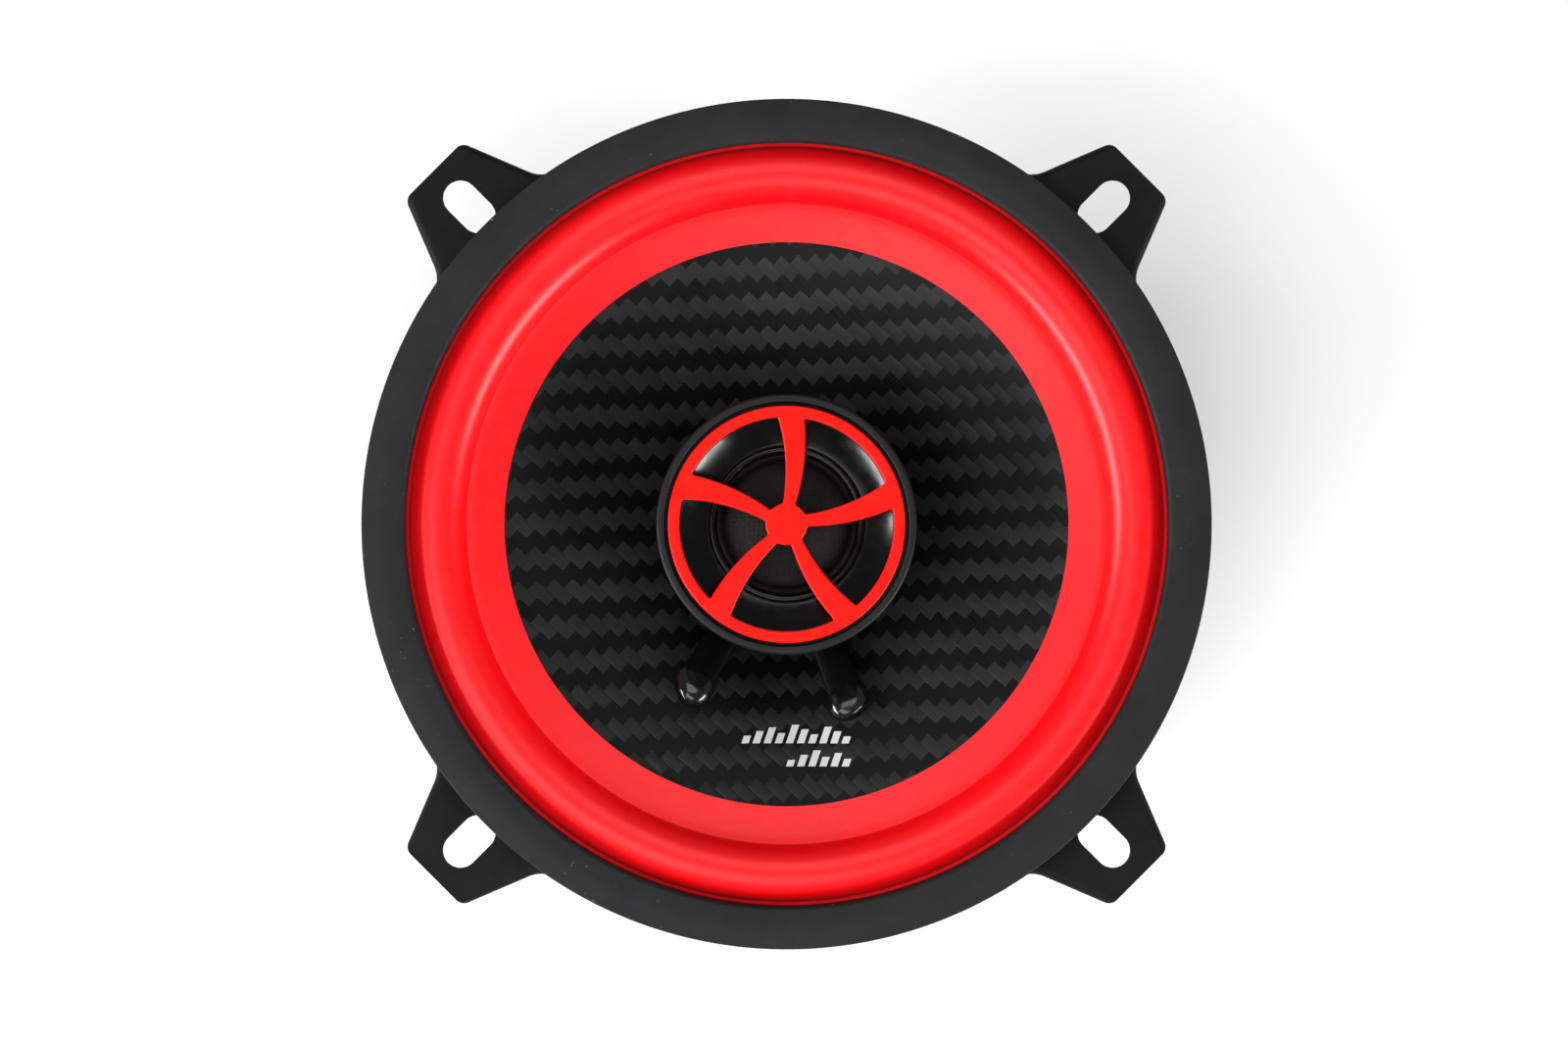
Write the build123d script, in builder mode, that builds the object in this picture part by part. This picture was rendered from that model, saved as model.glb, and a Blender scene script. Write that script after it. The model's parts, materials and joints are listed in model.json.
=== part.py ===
"""Coaxial car speaker of the 5.25 inch class, as an assembly of separate pieces.

Units are millimetres. +Z is the speaker's axis and points at the listener. Z = 0 is the plane on which
the frame's turned-down rim meets the door panel. The four ears lie on +X, +Y, -X and -Y, and the
terminals stand on the spoke at TERMINAL_AZ. Sections are drawn in the XZ plane as (radius, height).
"""

import os
from math import cos, degrees, hypot, radians, sin, sqrt, tan

from build123d import *

os.makedirs("parts", exist_ok=True)

# Driving sizes of the front
GASKET_R = 67.0  # outside of the round front
GASKET_TOP = 6.6
SURROUND_R = 60.2  # inside of the gasket, where the rubber surround starts to show
LAND_R = 50.9  # where the surround's roll meets the flat land that is glued to the cone
CONE_R = 44.7  # edge of the cone that shows
EAR_R = 79.0  # outer end of an ear
SLOT_PITCH_R = 71.0  # centre of a mounting slot
SLOT_LENGTH, SLOT_WIDTH = 9.5, 5.5
POD_R = 20.5  # outside of the tweeter pod

# Driving sizes of the depth and the motor
DEPTH = 52.0  # from the door panel to the back of the motor
SPIGOT_R = 59.0  # the frame's wall that drops into the hole in the panel
COIL_R = 13.0  # outside of the voice coil's former: a 26 mm coil
TERMINAL_AZ = 225.0  # the spoke that carries the terminals, degrees from +X
LEAD_AZIMUTHS = (195.0, 244.2)  # where the two leads come through the cone
LEAD_R = 29.9

# Stamped steel frame
SHEET = 1.0  # thickness of the steel
FLANGE_TOP = 2.2
FLANGE_R = 66.8
FLANGE_MID = FLANGE_TOP - SHEET / 2
EAR_HALF_WIDTH_TIP, EAR_HALF_WIDTH_ROOT = 6.35, 10.9
EAR_ROOT_R = 67.6
EAR_CORNER_R, EAR_ROOT_FILLET_R = 1.8, 5.0
EAR_ROLL_R = 1.3  # radius of the turned-down edge
SPIGOT_MID_R = SPIGOT_R - SHEET / 2
SPIGOT_BOTTOM = -6.0
SHELF_R, SHELF_MID = 38.5, -21.5  # where the spider is glued
CUP_R, FLOOR_MID = 30.5, -29.5
FLOOR_HOLE_R = 15.5
WINDOW_INNER_R, WINDOW_OUTER_R = 41.0, 55.5
WINDOW_HALF_ANGLE, WINDOW_CORNER_R = 34.2, 4.0
VENT_COUNT, VENT_WIDTH, VENT_HEIGHT, VENT_MID = 8, 7.0, 3.0, -25.5

# Motor, from the frame's floor down to the back
FLOOR_BOTTOM = FLOOR_MID - SHEET / 2
TOP_PLATE_T, TOP_PLATE_R, GAP_R = 4.5, 36.0, 13.9
MAGNET_T, MAGNET_R, MAGNET_HOLE_R = 12.5, 40.0, 17.0
BACK_PLATE_R = 36.0
POLE_R = 12.4
PLATE_CHAMFER = 0.8
TOP_PLATE_BOTTOM = FLOOR_BOTTOM - TOP_PLATE_T
MAGNET_BOTTOM = TOP_PLATE_BOTTOM - MAGNET_T
BOLT_R, BOLT_CLEAR_R = 2.0, 2.2
BOLT_HEAD_R, BOLT_HEAD_T, BOLT_POCKET_R, BOLT_POCKET_T = 3.5, 2.6, 4.2, 3.2
BOLT_SOCKET_R, BOLT_SOCKET_T = 1.7, 1.6
RIVET_RING_R, RIVET_COUNT, RIVET_R, RIVET_HEAD_R, RIVET_HEAD_T = 23.0, 4, 2.0, 3.4, 0.9
RIVET_BITE = 3.0

# Cone: its section is an arc from the neck to CONE_R, then a flat rim under the surround's land
CONE_T = 0.8
CONE_START, CONE_MIDDLE, CONE_EDGE = (11.5, -18.0), (28.9, -7.7), (CONE_R, -0.2)
RIM_END = (50.8, 1.1)
RUBBER_T = 0.6
LAND_START, LAND_END = 0.53, 1.84
ROLL_TOP_R, ROLL_TOP, ROLL_END_R, LIP_R = 55.2, 5.2, 59.5, 64.0
EYELET_R, EYELET_BACK, EYELET_FRONT = 1.3, 2.0, 0.45
GLUE_BASE_R, GLUE_HEIGHT = 3.1, 2.6

# Voice coil
FORMER_T, FORMER_TOP, FORMER_BOTTOM = 0.2, -15.8, -36.5
WINDING_T, WINDING_HEIGHT = 0.5, 8.0
SPIDER_T, SPIDER_NECK_TOP, SPIDER_MID = 0.5, -18.4, -20.2
SPIDER_WAVES, WAVE_START_R, WAVE_PITCH, WAVE_HEIGHT = 4, 15.6, 4.4, 1.0
SPIDER_LIP_R = 37.8

# Tweeter pod
POD_TOP, POD_FLOOR_BOTTOM, POD_FLOOR_T = 8.4, -7.5, 1.2
POD_MOUTH_R, POD_BORE_R, FACE_LEDGE = 19.25, 18.3, 6.1
BOSS_R, BOSS_BORE_R, LEDGE_BORE_R = 13.5, 12.7, 10.4
YOKE_BOTTOM, YOKE_TOP, YOKE_R, YOKE_BORE_R, YOKE_BASE_T = -2.6, 3.0, 12.6, 10.9, 1.6
SMALL_MAGNET_R, SMALL_MAGNET_T, SMALL_PLATE_R, SMALL_PLATE_T = 9.0, 2.5, 9.5, 1.5
DOME_R, DOME_T, DOME_BASE, DOME_RISE = 10.1, 0.2, 3.9, 3.0
SMALL_FORMER_R, SMALL_FORMER_T, SMALL_WINDING_T = 9.9, 0.15, 0.5
RING_T, RING_INNER_R = 0.8, 11.5
GUARD_RING_R, GUARD_RING_INNER_R, GUARD_TOP, GUARD_T = 18.65, 16.85, 8.5, 1.0
GUARD_HUB_R, BLADE_COUNT = 3.3, 5
POST_R, POST_FOOT_R, POST_HEAD_R, POST_HEAD_T = 6.0, 9.0, 9.0, 1.6
NUT_R, NUT_T = 4.04, 3.2
CAPACITOR_R, CAPACITOR_LENGTH, CAPACITOR_RING_R, CAPACITOR_MID, CAPACITOR_AZ = 2.0, 8.0, 15.7, -1.6, 45.0
LEAD_WIRE_R, TINSEL_R, FINE_WIRE_R = 1.2, 0.6, 0.25
LEAD_EXIT_R = 15.2

# Terminals
PAD_R = 48.5  # the pad's place on the spoke
PAD_SIZE, PAD_INNER, PAD_OUTER = (17.0, 13.0), -0.6, 0.9
BOARD_SIZE, BOARD_T, BOARD_CORNER_R = (32.0, 12.0), 1.6, 1.5
TAB_OFFSET, TAB_T, TAB_LENGTH = 12.0, 0.8, 8.0
TAB_WIDTHS = {"terminal_positive": 4.8, "terminal_negative": 2.8}
TAB_SHOULDER, TAB_SHOULDER_T, LUG_WIDTH, LUG_LENGTH, LUG_HOLE_R = 1.6, 0.8, 2.8, 4.4, 0.8
BOARD_RIVET_R, BOARD_RIVET_HEAD_R, BOARD_RIVET_HEAD_T = 1.5, 2.6, 0.8
TINSEL_STUB, TINSEL_BITE = 3.4, 0.5
# where a tinsel lead passes on its way: outwards along the spoke, share of the way sideways, height
TINSEL_STOPS = ((34.5, 0.35, -15.6), (40.2, 0.7, -15.2), (43.8, 0.9, -13.0))


def arc_circle(a, b, c):
    """Centre and radius of the circle through three points of a section."""
    (ax, ay), (bx, by), (cx, cy) = a, b, c
    d = 2 * (ax * (by - cy) + bx * (cy - ay) + cx * (ay - by))
    sa, sb, sc = ax * ax + ay * ay, bx * bx + by * by, cx * cx + cy * cy
    x = (sa * (by - cy) + sb * (cy - ay) + sc * (ay - by)) / d
    y = (sa * (cx - bx) + sb * (ax - cx) + sc * (bx - ax)) / d
    return (x, y), hypot(ax - x, ay - y)


CONE_CENTRE, CONE_ARC_R = arc_circle(CONE_START, CONE_MIDDLE, CONE_EDGE)


def cone_point(radius, lift=0.0):
    """The cone's section at a radius, lift millimetres in front of its middle surface."""
    return radius, CONE_CENTRE[1] + sqrt((CONE_ARC_R + lift) ** 2 - (radius - CONE_CENTRE[0]) ** 2)


def cone_normal(radius):
    """Unit normal of the cone's section at a radius, towards the front."""
    r, z = cone_point(radius)
    return (r - CONE_CENTRE[0]) / CONE_ARC_R, (z - CONE_CENTRE[1]) / CONE_ARC_R


def polar(radius, azimuth, height):
    return Vector(radius * cos(radians(azimuth)), radius * sin(radians(azimuth)), height)


def tube_radii(points):
    """The largest arcs that a path's runs leave room for: 0.45 of the shorter run at each corner."""
    radii = []
    for before, corner, after in zip(points, points[1:], points[2:]):
        run_in, run_out = corner - before, after - corner
        shorter = min(run_in.length, run_out.length)
        radii.append(0.45 * shorter / tan(radians(run_in.get_angle(run_out)) / 2))
    return radii


def path_plane(path):
    return Plane(origin=path @ 0, z_dir=path % 0)


# The stamped frame: rim and ears, spigot, spoked wall, spider shelf, cup and floor
with BuildPart() as basket:
    with BuildSketch():
        Circle(FLANGE_R)
        for azimuth in (0, 90, 180, 270):
            side = (EAR_HALF_WIDTH_ROOT - EAR_HALF_WIDTH_TIP) / (EAR_R - EAR_ROOT_R)
            long_r, root_r = EAR_R + 6, 60.0
            tip = EAR_HALF_WIDTH_TIP - side * (long_r - EAR_R)
            root = EAR_HALF_WIDTH_TIP + side * (EAR_R - root_r)
            with Locations(Location((0, 0, 0), (0, 0, azimuth))):
                Polygon((root_r, -root), (long_r, -tip), (long_r, tip), (root_r, root), align=None)
    extrude(amount=FLANGE_TOP)
    root_edges = [e for e in basket.edges().filter_by(Axis.Z) if e.center().length < FLANGE_R + 1.5]
    fillet(root_edges, EAR_ROOT_FILLET_R)
    fillet(basket.faces().sort_by(Axis.Z)[-1].outer_wire().edges(), EAR_ROLL_R)
    # the ears' ends are cut square, so only the round rim and the ears' sides are rounded over
    with BuildSketch():
        for azimuth in (0, 90, 180, 270):
            with Locations(Location((0, 0, 0), (0, 0, azimuth))):
                tip, root = EAR_HALF_WIDTH_TIP, EAR_HALF_WIDTH_TIP + side * EAR_R
                Polygon((0, -root), (EAR_R, -tip), (EAR_R, tip), (0, root), align=None)
        fillet([v for v in vertices() if hypot(v.X, v.Y) > EAR_R], EAR_CORNER_R)
        Circle(EAR_ROOT_R + EAR_ROOT_FILLET_R)
    extrude(amount=FLANGE_TOP, mode=Mode.INTERSECT)
    rim = basket.faces().sort_by(Axis.Z)[0]
    with BuildSketch():
        add(rim)
        offset(amount=-SHEET, mode=Mode.REPLACE)
    extrude(amount=FLANGE_TOP - SHEET, mode=Mode.SUBTRACT)
    with BuildSketch():
        Circle(SPIGOT_MID_R + 1.5)
    extrude(amount=FLANGE_TOP, mode=Mode.SUBTRACT)
    for azimuth in (0, 90, 180, 270):
        with BuildSketch(Plane.XY.rotated((0, 0, azimuth))):
            with Locations((SLOT_PITCH_R, 0)):
                SlotOverall(SLOT_LENGTH, SLOT_WIDTH)
        extrude(amount=FLANGE_TOP, mode=Mode.SUBTRACT)
    with BuildSketch(Plane.XZ):
        with BuildLine():
            FilletPolyline(
                (SPIGOT_MID_R + 3.0, FLANGE_MID),
                (SPIGOT_MID_R, FLANGE_MID),
                (SPIGOT_MID_R, SPIGOT_BOTTOM),
                (SHELF_R, SHELF_MID),
                (CUP_R, SHELF_MID),
                (CUP_R, FLOOR_MID),
                (FLOOR_HOLE_R, FLOOR_MID),
                radius=[1.5, 2.0, 2.0, 1.5, 1.5],
            )
        trace(line_width=SHEET)
    revolve(axis=Axis.Z)
    with BuildSketch(Plane.XY.offset(SHELF_MID - 4)):
        for azimuth in (0, 90, 180, 270):
            start = azimuth - WINDOW_HALF_ANGLE
            with BuildLine() as window:
                outer = CenterArc((0, 0), WINDOW_OUTER_R, start, 2 * WINDOW_HALF_ANGLE)
                inner = CenterArc((0, 0), WINDOW_INNER_R, start, 2 * WINDOW_HALF_ANGLE)
                Line(outer @ 0, inner @ 0)
                Line(outer @ 1, inner @ 1)
            make_face()
        corners = [v for v in vertices() if hypot(v.X, v.Y) > 1]
        fillet(corners, WINDOW_CORNER_R)
    extrude(amount=-SHELF_MID, mode=Mode.SUBTRACT)
    with Locations((0, 0, VENT_MID)):
        with PolarLocations(CUP_R, VENT_COUNT, 22.5):
            Box(3 * SHEET, VENT_WIDTH, VENT_HEIGHT, mode=Mode.SUBTRACT)
    with BuildSketch(Plane.XY.offset(FLOOR_BOTTOM)):
        with PolarLocations(RIVET_RING_R, RIVET_COUNT, 45):
            Circle(RIVET_R)
    extrude(amount=SHEET, mode=Mode.SUBTRACT)
    # the flat pad on the terminal spoke
    wall_z = SPIGOT_BOTTOM + (SPIGOT_MID_R - PAD_R) * (SHELF_MID - SPIGOT_BOTTOM) / (SPIGOT_MID_R - SHELF_R)
    wall_run, wall_drop = SPIGOT_MID_R - SHELF_R, SPIGOT_BOTTOM - SHELF_MID
    wall_length = hypot(wall_run, wall_drop)
    out_r, out_z = wall_drop / wall_length, -wall_run / wall_length
    tangent = polar(1, TERMINAL_AZ + 90, 0)
    pad_plane = Plane(polar(PAD_R, TERMINAL_AZ, wall_z), x_dir=tangent, z_dir=polar(out_r, TERMINAL_AZ, out_z))
    with BuildSketch(pad_plane.offset(PAD_INNER)):
        RectangleRounded(*PAD_SIZE, 2.0)
    extrude(amount=PAD_OUTER - PAD_INNER)
    with BuildSketch(pad_plane.offset(-2)):
        Circle(BOARD_RIVET_R)
    extrude(amount=4, mode=Mode.SUBTRACT)
basket.part.label = "basket"

# Rubber gasket on the front of the rim
with BuildPart() as front_gasket:
    with BuildSketch(Plane.XZ):
        lip_top = FLANGE_TOP + RUBBER_T
        with BuildLine():
            Polyline(
                (SURROUND_R, lip_top),
                (64.2, lip_top),
                (64.2, FLANGE_TOP),
                (GASKET_R, FLANGE_TOP),
                (GASKET_R, GASKET_TOP - 0.3),
                (63.8, GASKET_TOP),
                (SURROUND_R, GASKET_TOP - 0.25),
                close=True,
            )
        make_face()
        fillet(vertices().group_by(Axis.Y)[-1], 6.0)
        fillet(vertices().filter_by_position(Axis.Y, GASKET_TOP - 0.4, GASKET_TOP - 0.2), 0.7)
    revolve(axis=Axis.Z)
front_gasket.part.label = "front_gasket"

# Rubber surround: a land glued to the cone's rim, a half roll and a lip under the gasket
with BuildPart() as surround:
    with BuildSketch(Plane.XZ):
        lip_mid = FLANGE_TOP + RUBBER_T / 2
        with BuildLine():
            Line((CONE_R + 0.05, LAND_START), (LAND_R, LAND_END))
            ThreePointArc((LAND_R, LAND_END), (ROLL_TOP_R, ROLL_TOP), (ROLL_END_R, lip_mid))
            Line((ROLL_END_R, lip_mid), (LIP_R, lip_mid))
        trace(line_width=RUBBER_T)
    revolve(axis=Axis.Z)
surround.part.label = "surround"

# Cone with its flat rim, bored for the former and for the two eyelets
lead_planes = []
for azimuth in LEAD_AZIMUTHS:
    normal_r, normal_z = cone_normal(LEAD_R)
    middle = polar(LEAD_R, azimuth, cone_point(LEAD_R)[1])
    lead_planes.append(
        Plane(middle, x_dir=polar(1, azimuth + 90, 0), z_dir=polar(normal_r, azimuth, normal_z))
    )
with BuildPart() as cone:
    with BuildSketch(Plane.XZ):
        with BuildLine():
            ThreePointArc(CONE_START, CONE_MIDDLE, CONE_EDGE)
            Line(CONE_EDGE, RIM_END)
        trace(line_width=CONE_T)
    revolve(axis=Axis.Z)
    Cylinder(COIL_R, 60, mode=Mode.SUBTRACT)
    for plane in lead_planes:
        with BuildSketch(plane.offset(-2)):
            Circle(EYELET_R)
        extrude(amount=4, mode=Mode.SUBTRACT)
cone.part.label = "cone"

# Brass eyelets through the cone, with the glue domes over them
with BuildPart() as lead_eyelets:
    for plane in lead_planes:
        with BuildSketch(plane.offset(-EYELET_BACK)):
            Circle(EYELET_R)
        extrude(amount=EYELET_BACK + EYELET_FRONT)
lead_eyelets.part.label = "lead_eyelets"

# Enamelled wires from the voice coil, along the cone's back to the eyelets
wire_lift = -(CONE_T / 2 + FINE_WIRE_R + 0.05)
with BuildPart() as coil_leadouts:
    for azimuth in LEAD_AZIMUTHS:
        ends = [polar(r, azimuth, cone_point(r, wire_lift)[1]) for r in (13.6, 21.0, 28.2)]
        with BuildLine() as wire:
            ThreePointArc(*ends)
        with BuildSketch(path_plane(wire.line)):
            Circle(FINE_WIRE_R)
        sweep(path=wire.line)
coil_leadouts.part.label = "coil_leadouts"

# Voice coil: former and copper winding, centred on the magnet gap
with BuildPart() as voice_coil_former:
    with BuildSketch(Plane.XY.offset(FORMER_BOTTOM)):
        Circle(COIL_R)
        Circle(COIL_R - FORMER_T, mode=Mode.SUBTRACT)
    extrude(amount=FORMER_TOP - FORMER_BOTTOM)
voice_coil_former.part.label = "voice_coil_former"

gap_mid = FLOOR_BOTTOM - TOP_PLATE_T / 2
with BuildPart() as voice_coil_winding:
    with BuildSketch(Plane.XY.offset(gap_mid - WINDING_HEIGHT / 2)):
        Circle(COIL_R + WINDING_T)
        Circle(COIL_R, mode=Mode.SUBTRACT)
    extrude(amount=WINDING_HEIGHT)
voice_coil_winding.part.label = "voice_coil_winding"

# Corrugated spider: neck, four waves and a lip on the frame's shelf
with BuildPart() as spider:
    with BuildSketch(Plane.XZ):
        neck_r = COIL_R + SPIDER_T / 2
        lip_z = SHELF_MID + SHEET / 2 + SPIDER_T / 2
        with BuildLine():
            FilletPolyline(
                (neck_r, SPIDER_NECK_TOP), (neck_r, SPIDER_MID), (WAVE_START_R, SPIDER_MID), radius=0.6
            )
            wave_r = WAVE_START_R
            for half_wave in range(2 * SPIDER_WAVES):
                swing = -WAVE_HEIGHT if half_wave % 2 == 0 else WAVE_HEIGHT
                middle_r, next_r = wave_r + WAVE_PITCH / 4, wave_r + WAVE_PITCH / 2
                ThreePointArc((wave_r, SPIDER_MID), (middle_r, SPIDER_MID + swing), (next_r, SPIDER_MID))
                wave_r = next_r
            Polyline((wave_r, SPIDER_MID), (wave_r + 0.8, lip_z), (SPIDER_LIP_R, lip_z))
        trace(line_width=SPIDER_T)
    revolve(axis=Axis.Z)
spider.part.label = "spider"

# Magnet system
with BuildPart() as top_plate:
    with BuildSketch(Plane.XY.offset(TOP_PLATE_BOTTOM)):
        Circle(TOP_PLATE_R)
        Circle(GAP_R, mode=Mode.SUBTRACT)
    extrude(amount=TOP_PLATE_T)
    chamfer(top_plate.edges().group_by(Axis.Z)[-1].sort_by(SortBy.RADIUS)[-1], PLATE_CHAMFER)
    with BuildSketch(Plane.XY.offset(FLOOR_BOTTOM - RIVET_BITE)):
        with PolarLocations(RIVET_RING_R, RIVET_COUNT, 45):
            Circle(RIVET_R)
    extrude(amount=RIVET_BITE, mode=Mode.SUBTRACT)
top_plate.part.label = "top_plate"

with BuildPart() as plate_rivets:
    with BuildSketch(Plane.XY.offset(FLOOR_BOTTOM - RIVET_BITE)):
        with PolarLocations(RIVET_RING_R, RIVET_COUNT, 45):
            Circle(RIVET_R)
    extrude(amount=RIVET_BITE + SHEET)
    with BuildSketch(Plane.XY.offset(FLOOR_BOTTOM + SHEET)):
        with PolarLocations(RIVET_RING_R, RIVET_COUNT, 45):
            Circle(RIVET_HEAD_R)
    extrude(amount=RIVET_HEAD_T)
    fillet(plate_rivets.edges().group_by(Axis.Z)[-1], 0.5)
plate_rivets.part.label = "plate_rivets"

with BuildPart() as magnet:
    with BuildSketch(Plane.XY.offset(MAGNET_BOTTOM)):
        Circle(MAGNET_R)
        Circle(MAGNET_HOLE_R, mode=Mode.SUBTRACT)
    extrude(amount=MAGNET_T)
    chamfer(magnet.edges().filter_by(GeomType.CIRCLE).filter_by(lambda e: e.radius > MAGNET_R - 1), 0.6)
magnet.part.label = "magnet"

with BuildPart() as pole_yoke:
    with BuildSketch(Plane.XY.offset(-DEPTH)):
        Circle(BACK_PLATE_R)
    extrude(amount=MAGNET_BOTTOM + DEPTH)
    chamfer(pole_yoke.edges().group_by(Axis.Z)[0], PLATE_CHAMFER)
    with BuildSketch(Plane.XY.offset(MAGNET_BOTTOM)):
        Circle(POLE_R)
    extrude(amount=FLOOR_BOTTOM - MAGNET_BOTTOM)
    chamfer(pole_yoke.edges().group_by(Axis.Z)[-1], 0.5)
    with BuildSketch(Plane.XY.offset(-DEPTH)):
        Circle(BOLT_CLEAR_R)
    extrude(amount=DEPTH + FLOOR_BOTTOM, mode=Mode.SUBTRACT)
    with BuildSketch(Plane.XY.offset(-DEPTH)):
        Circle(BOLT_POCKET_R)
    extrude(amount=BOLT_POCKET_T, mode=Mode.SUBTRACT)
pole_yoke.part.label = "pole_yoke"

# Post, bolt and nut that hold the tweeter pod on the pole
post_top = POD_FLOOR_BOTTOM
with BuildPart() as tweeter_post:
    with BuildSketch(Plane.XZ):
        with BuildLine():
            Polyline(
                (BOLT_CLEAR_R, FLOOR_BOTTOM),
                (POST_FOOT_R, FLOOR_BOTTOM),
                (POST_FOOT_R, FLOOR_BOTTOM + 1.5),
                (POST_R, FLOOR_BOTTOM + 4.0),
                (POST_R, post_top - POST_HEAD_T - 2.5),
                (POST_HEAD_R, post_top - POST_HEAD_T),
                (POST_HEAD_R, post_top),
                (BOLT_CLEAR_R, post_top),
                close=True,
            )
        make_face()
    revolve(axis=Axis.Z)
tweeter_post.part.label = "tweeter_post"

bolt_head_top = -DEPTH + BOLT_POCKET_T
bolt_end = POD_FLOOR_BOTTOM + POD_FLOOR_T + NUT_T + 0.1
with BuildPart() as tweeter_bolt:
    with BuildSketch(Plane.XY.offset(bolt_head_top - BOLT_HEAD_T)):
        Circle(BOLT_HEAD_R)
    extrude(amount=BOLT_HEAD_T)
    fillet(tweeter_bolt.edges().group_by(Axis.Z)[0], 0.4)
    with BuildSketch(Plane.XY.offset(bolt_head_top - BOLT_HEAD_T)):
        RegularPolygon(BOLT_SOCKET_R, 6)
    extrude(amount=BOLT_SOCKET_T, mode=Mode.SUBTRACT)
    with BuildSketch(Plane.XY.offset(bolt_head_top)):
        Circle(BOLT_R)
    extrude(amount=bolt_end - bolt_head_top)
    chamfer(tweeter_bolt.edges().group_by(Axis.Z)[-1], 0.4)
tweeter_bolt.part.label = "tweeter_bolt"

nut_bottom = POD_FLOOR_BOTTOM + POD_FLOOR_T
with BuildPart() as tweeter_nut:
    with BuildSketch(Plane.XY.offset(nut_bottom)):
        RegularPolygon(NUT_R, 6)
        Circle(BOLT_R + 0.05, mode=Mode.SUBTRACT)
    extrude(amount=NUT_T)
tweeter_nut.part.label = "tweeter_nut"

# Tweeter pod: a moulded cup with a boss for the motor
with BuildPart() as tweeter_housing:
    with BuildSketch(Plane.XZ):
        inner_floor = POD_FLOOR_BOTTOM + POD_FLOOR_T
        with BuildLine():
            Polyline(
                (BOLT_CLEAR_R, POD_FLOOR_BOTTOM),
                (16.2, POD_FLOOR_BOTTOM),
                (19.6, -3.4),
                (POD_R, 2.0),
                (POD_R, POD_TOP - 0.5),
                (POD_R - 0.4, POD_TOP),
                (POD_MOUTH_R, POD_TOP),
                (POD_MOUTH_R, FACE_LEDGE),
                (POD_BORE_R, FACE_LEDGE),
                (POD_BORE_R, -2.6),
                (15.6, inner_floor),
                (BOSS_R, inner_floor),
                (BOSS_R, YOKE_TOP),
                (BOSS_BORE_R, YOKE_TOP),
                (BOSS_BORE_R, YOKE_BOTTOM),
                (LEDGE_BORE_R, YOKE_BOTTOM),
                (LEDGE_BORE_R, inner_floor),
                (BOLT_CLEAR_R, inner_floor),
                close=True,
            )
        make_face()
        outside = [v for v in vertices() if (v.X, v.Y) in ((16.2, POD_FLOOR_BOTTOM), (19.6, -3.4), (POD_R, 2.0))]
        fillet(outside, 1.6)
    revolve(axis=Axis.Z)
    with BuildSketch(Plane.XY.offset(POD_FLOOR_BOTTOM)):
        for azimuth in LEAD_AZIMUTHS:
            with Locations(polar(LEAD_EXIT_R, azimuth, 0)):
                Circle(LEAD_WIRE_R)
    extrude(amount=2.5, mode=Mode.SUBTRACT)
tweeter_housing.part.label = "tweeter_housing"

with BuildPart() as tweeter_yoke:
    with BuildSketch(Plane.XY.offset(YOKE_BOTTOM)):
        Circle(YOKE_R)
    extrude(amount=YOKE_TOP - YOKE_BOTTOM)
    with BuildSketch(Plane.XY.offset(YOKE_BOTTOM + YOKE_BASE_T)):
        Circle(YOKE_BORE_R)
    extrude(amount=YOKE_TOP - YOKE_BOTTOM, mode=Mode.SUBTRACT)
    chamfer(tweeter_yoke.edges().group_by(Axis.Z)[0], 0.4)
tweeter_yoke.part.label = "tweeter_yoke"

small_magnet_bottom = YOKE_BOTTOM + YOKE_BASE_T
with BuildPart() as tweeter_magnet:
    with BuildSketch(Plane.XY.offset(small_magnet_bottom)):
        Circle(SMALL_MAGNET_R)
    extrude(amount=SMALL_MAGNET_T)
tweeter_magnet.part.label = "tweeter_magnet"

with BuildPart() as tweeter_pole_plate:
    with BuildSketch(Plane.XY.offset(small_magnet_bottom + SMALL_MAGNET_T)):
        Circle(SMALL_PLATE_R)
    extrude(amount=SMALL_PLATE_T)
tweeter_pole_plate.part.label = "tweeter_pole_plate"

# Tweeter diaphragm: ring, suspension, dome, former and winding
with BuildPart() as tweeter_diaphragm_ring:
    with BuildSketch(Plane.XY.offset(YOKE_TOP)):
        Circle(BOSS_R)
        Circle(RING_INNER_R, mode=Mode.SUBTRACT)
    extrude(amount=RING_T)
tweeter_diaphragm_ring.part.label = "tweeter_diaphragm_ring"

with BuildPart() as tweeter_suspension:
    with BuildSketch(Plane.XZ):
        with BuildLine():
            Line((13.0, DOME_BASE), (11.2, DOME_BASE))
            ThreePointArc((11.2, DOME_BASE), (10.75, DOME_BASE + 0.4), (10.3, DOME_BASE))
            Line((10.3, DOME_BASE), (DOME_R, DOME_BASE))
        trace(line_width=DOME_T)
    revolve(axis=Axis.Z)
tweeter_suspension.part.label = "tweeter_suspension"

with BuildPart() as tweeter_dome:
    dome_edge_r = DOME_R - 0.4
    dome_sphere_r = (dome_edge_r**2 + DOME_RISE**2) / (2 * DOME_RISE)
    with Locations((0, 0, DOME_BASE + DOME_RISE - dome_sphere_r)):
        Sphere(dome_sphere_r + DOME_T / 2)
        Sphere(dome_sphere_r - DOME_T / 2, mode=Mode.SUBTRACT)
    split(bisect_by=Plane.XY.offset(DOME_BASE - DOME_T / 2), keep=Keep.TOP)
    with BuildSketch(Plane.XY.offset(DOME_BASE - DOME_T / 2)):
        Circle(DOME_R)
        Circle(dome_edge_r - 0.1, mode=Mode.SUBTRACT)
    extrude(amount=DOME_T)
tweeter_dome.part.label = "tweeter_dome"

with BuildPart() as tweeter_coil_former:
    with BuildSketch(Plane.XY.offset(1.0)):
        Circle(SMALL_FORMER_R)
        Circle(SMALL_FORMER_R - SMALL_FORMER_T, mode=Mode.SUBTRACT)
    extrude(amount=DOME_BASE - DOME_T / 2 - 1.0)
tweeter_coil_former.part.label = "tweeter_coil_former"

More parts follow.
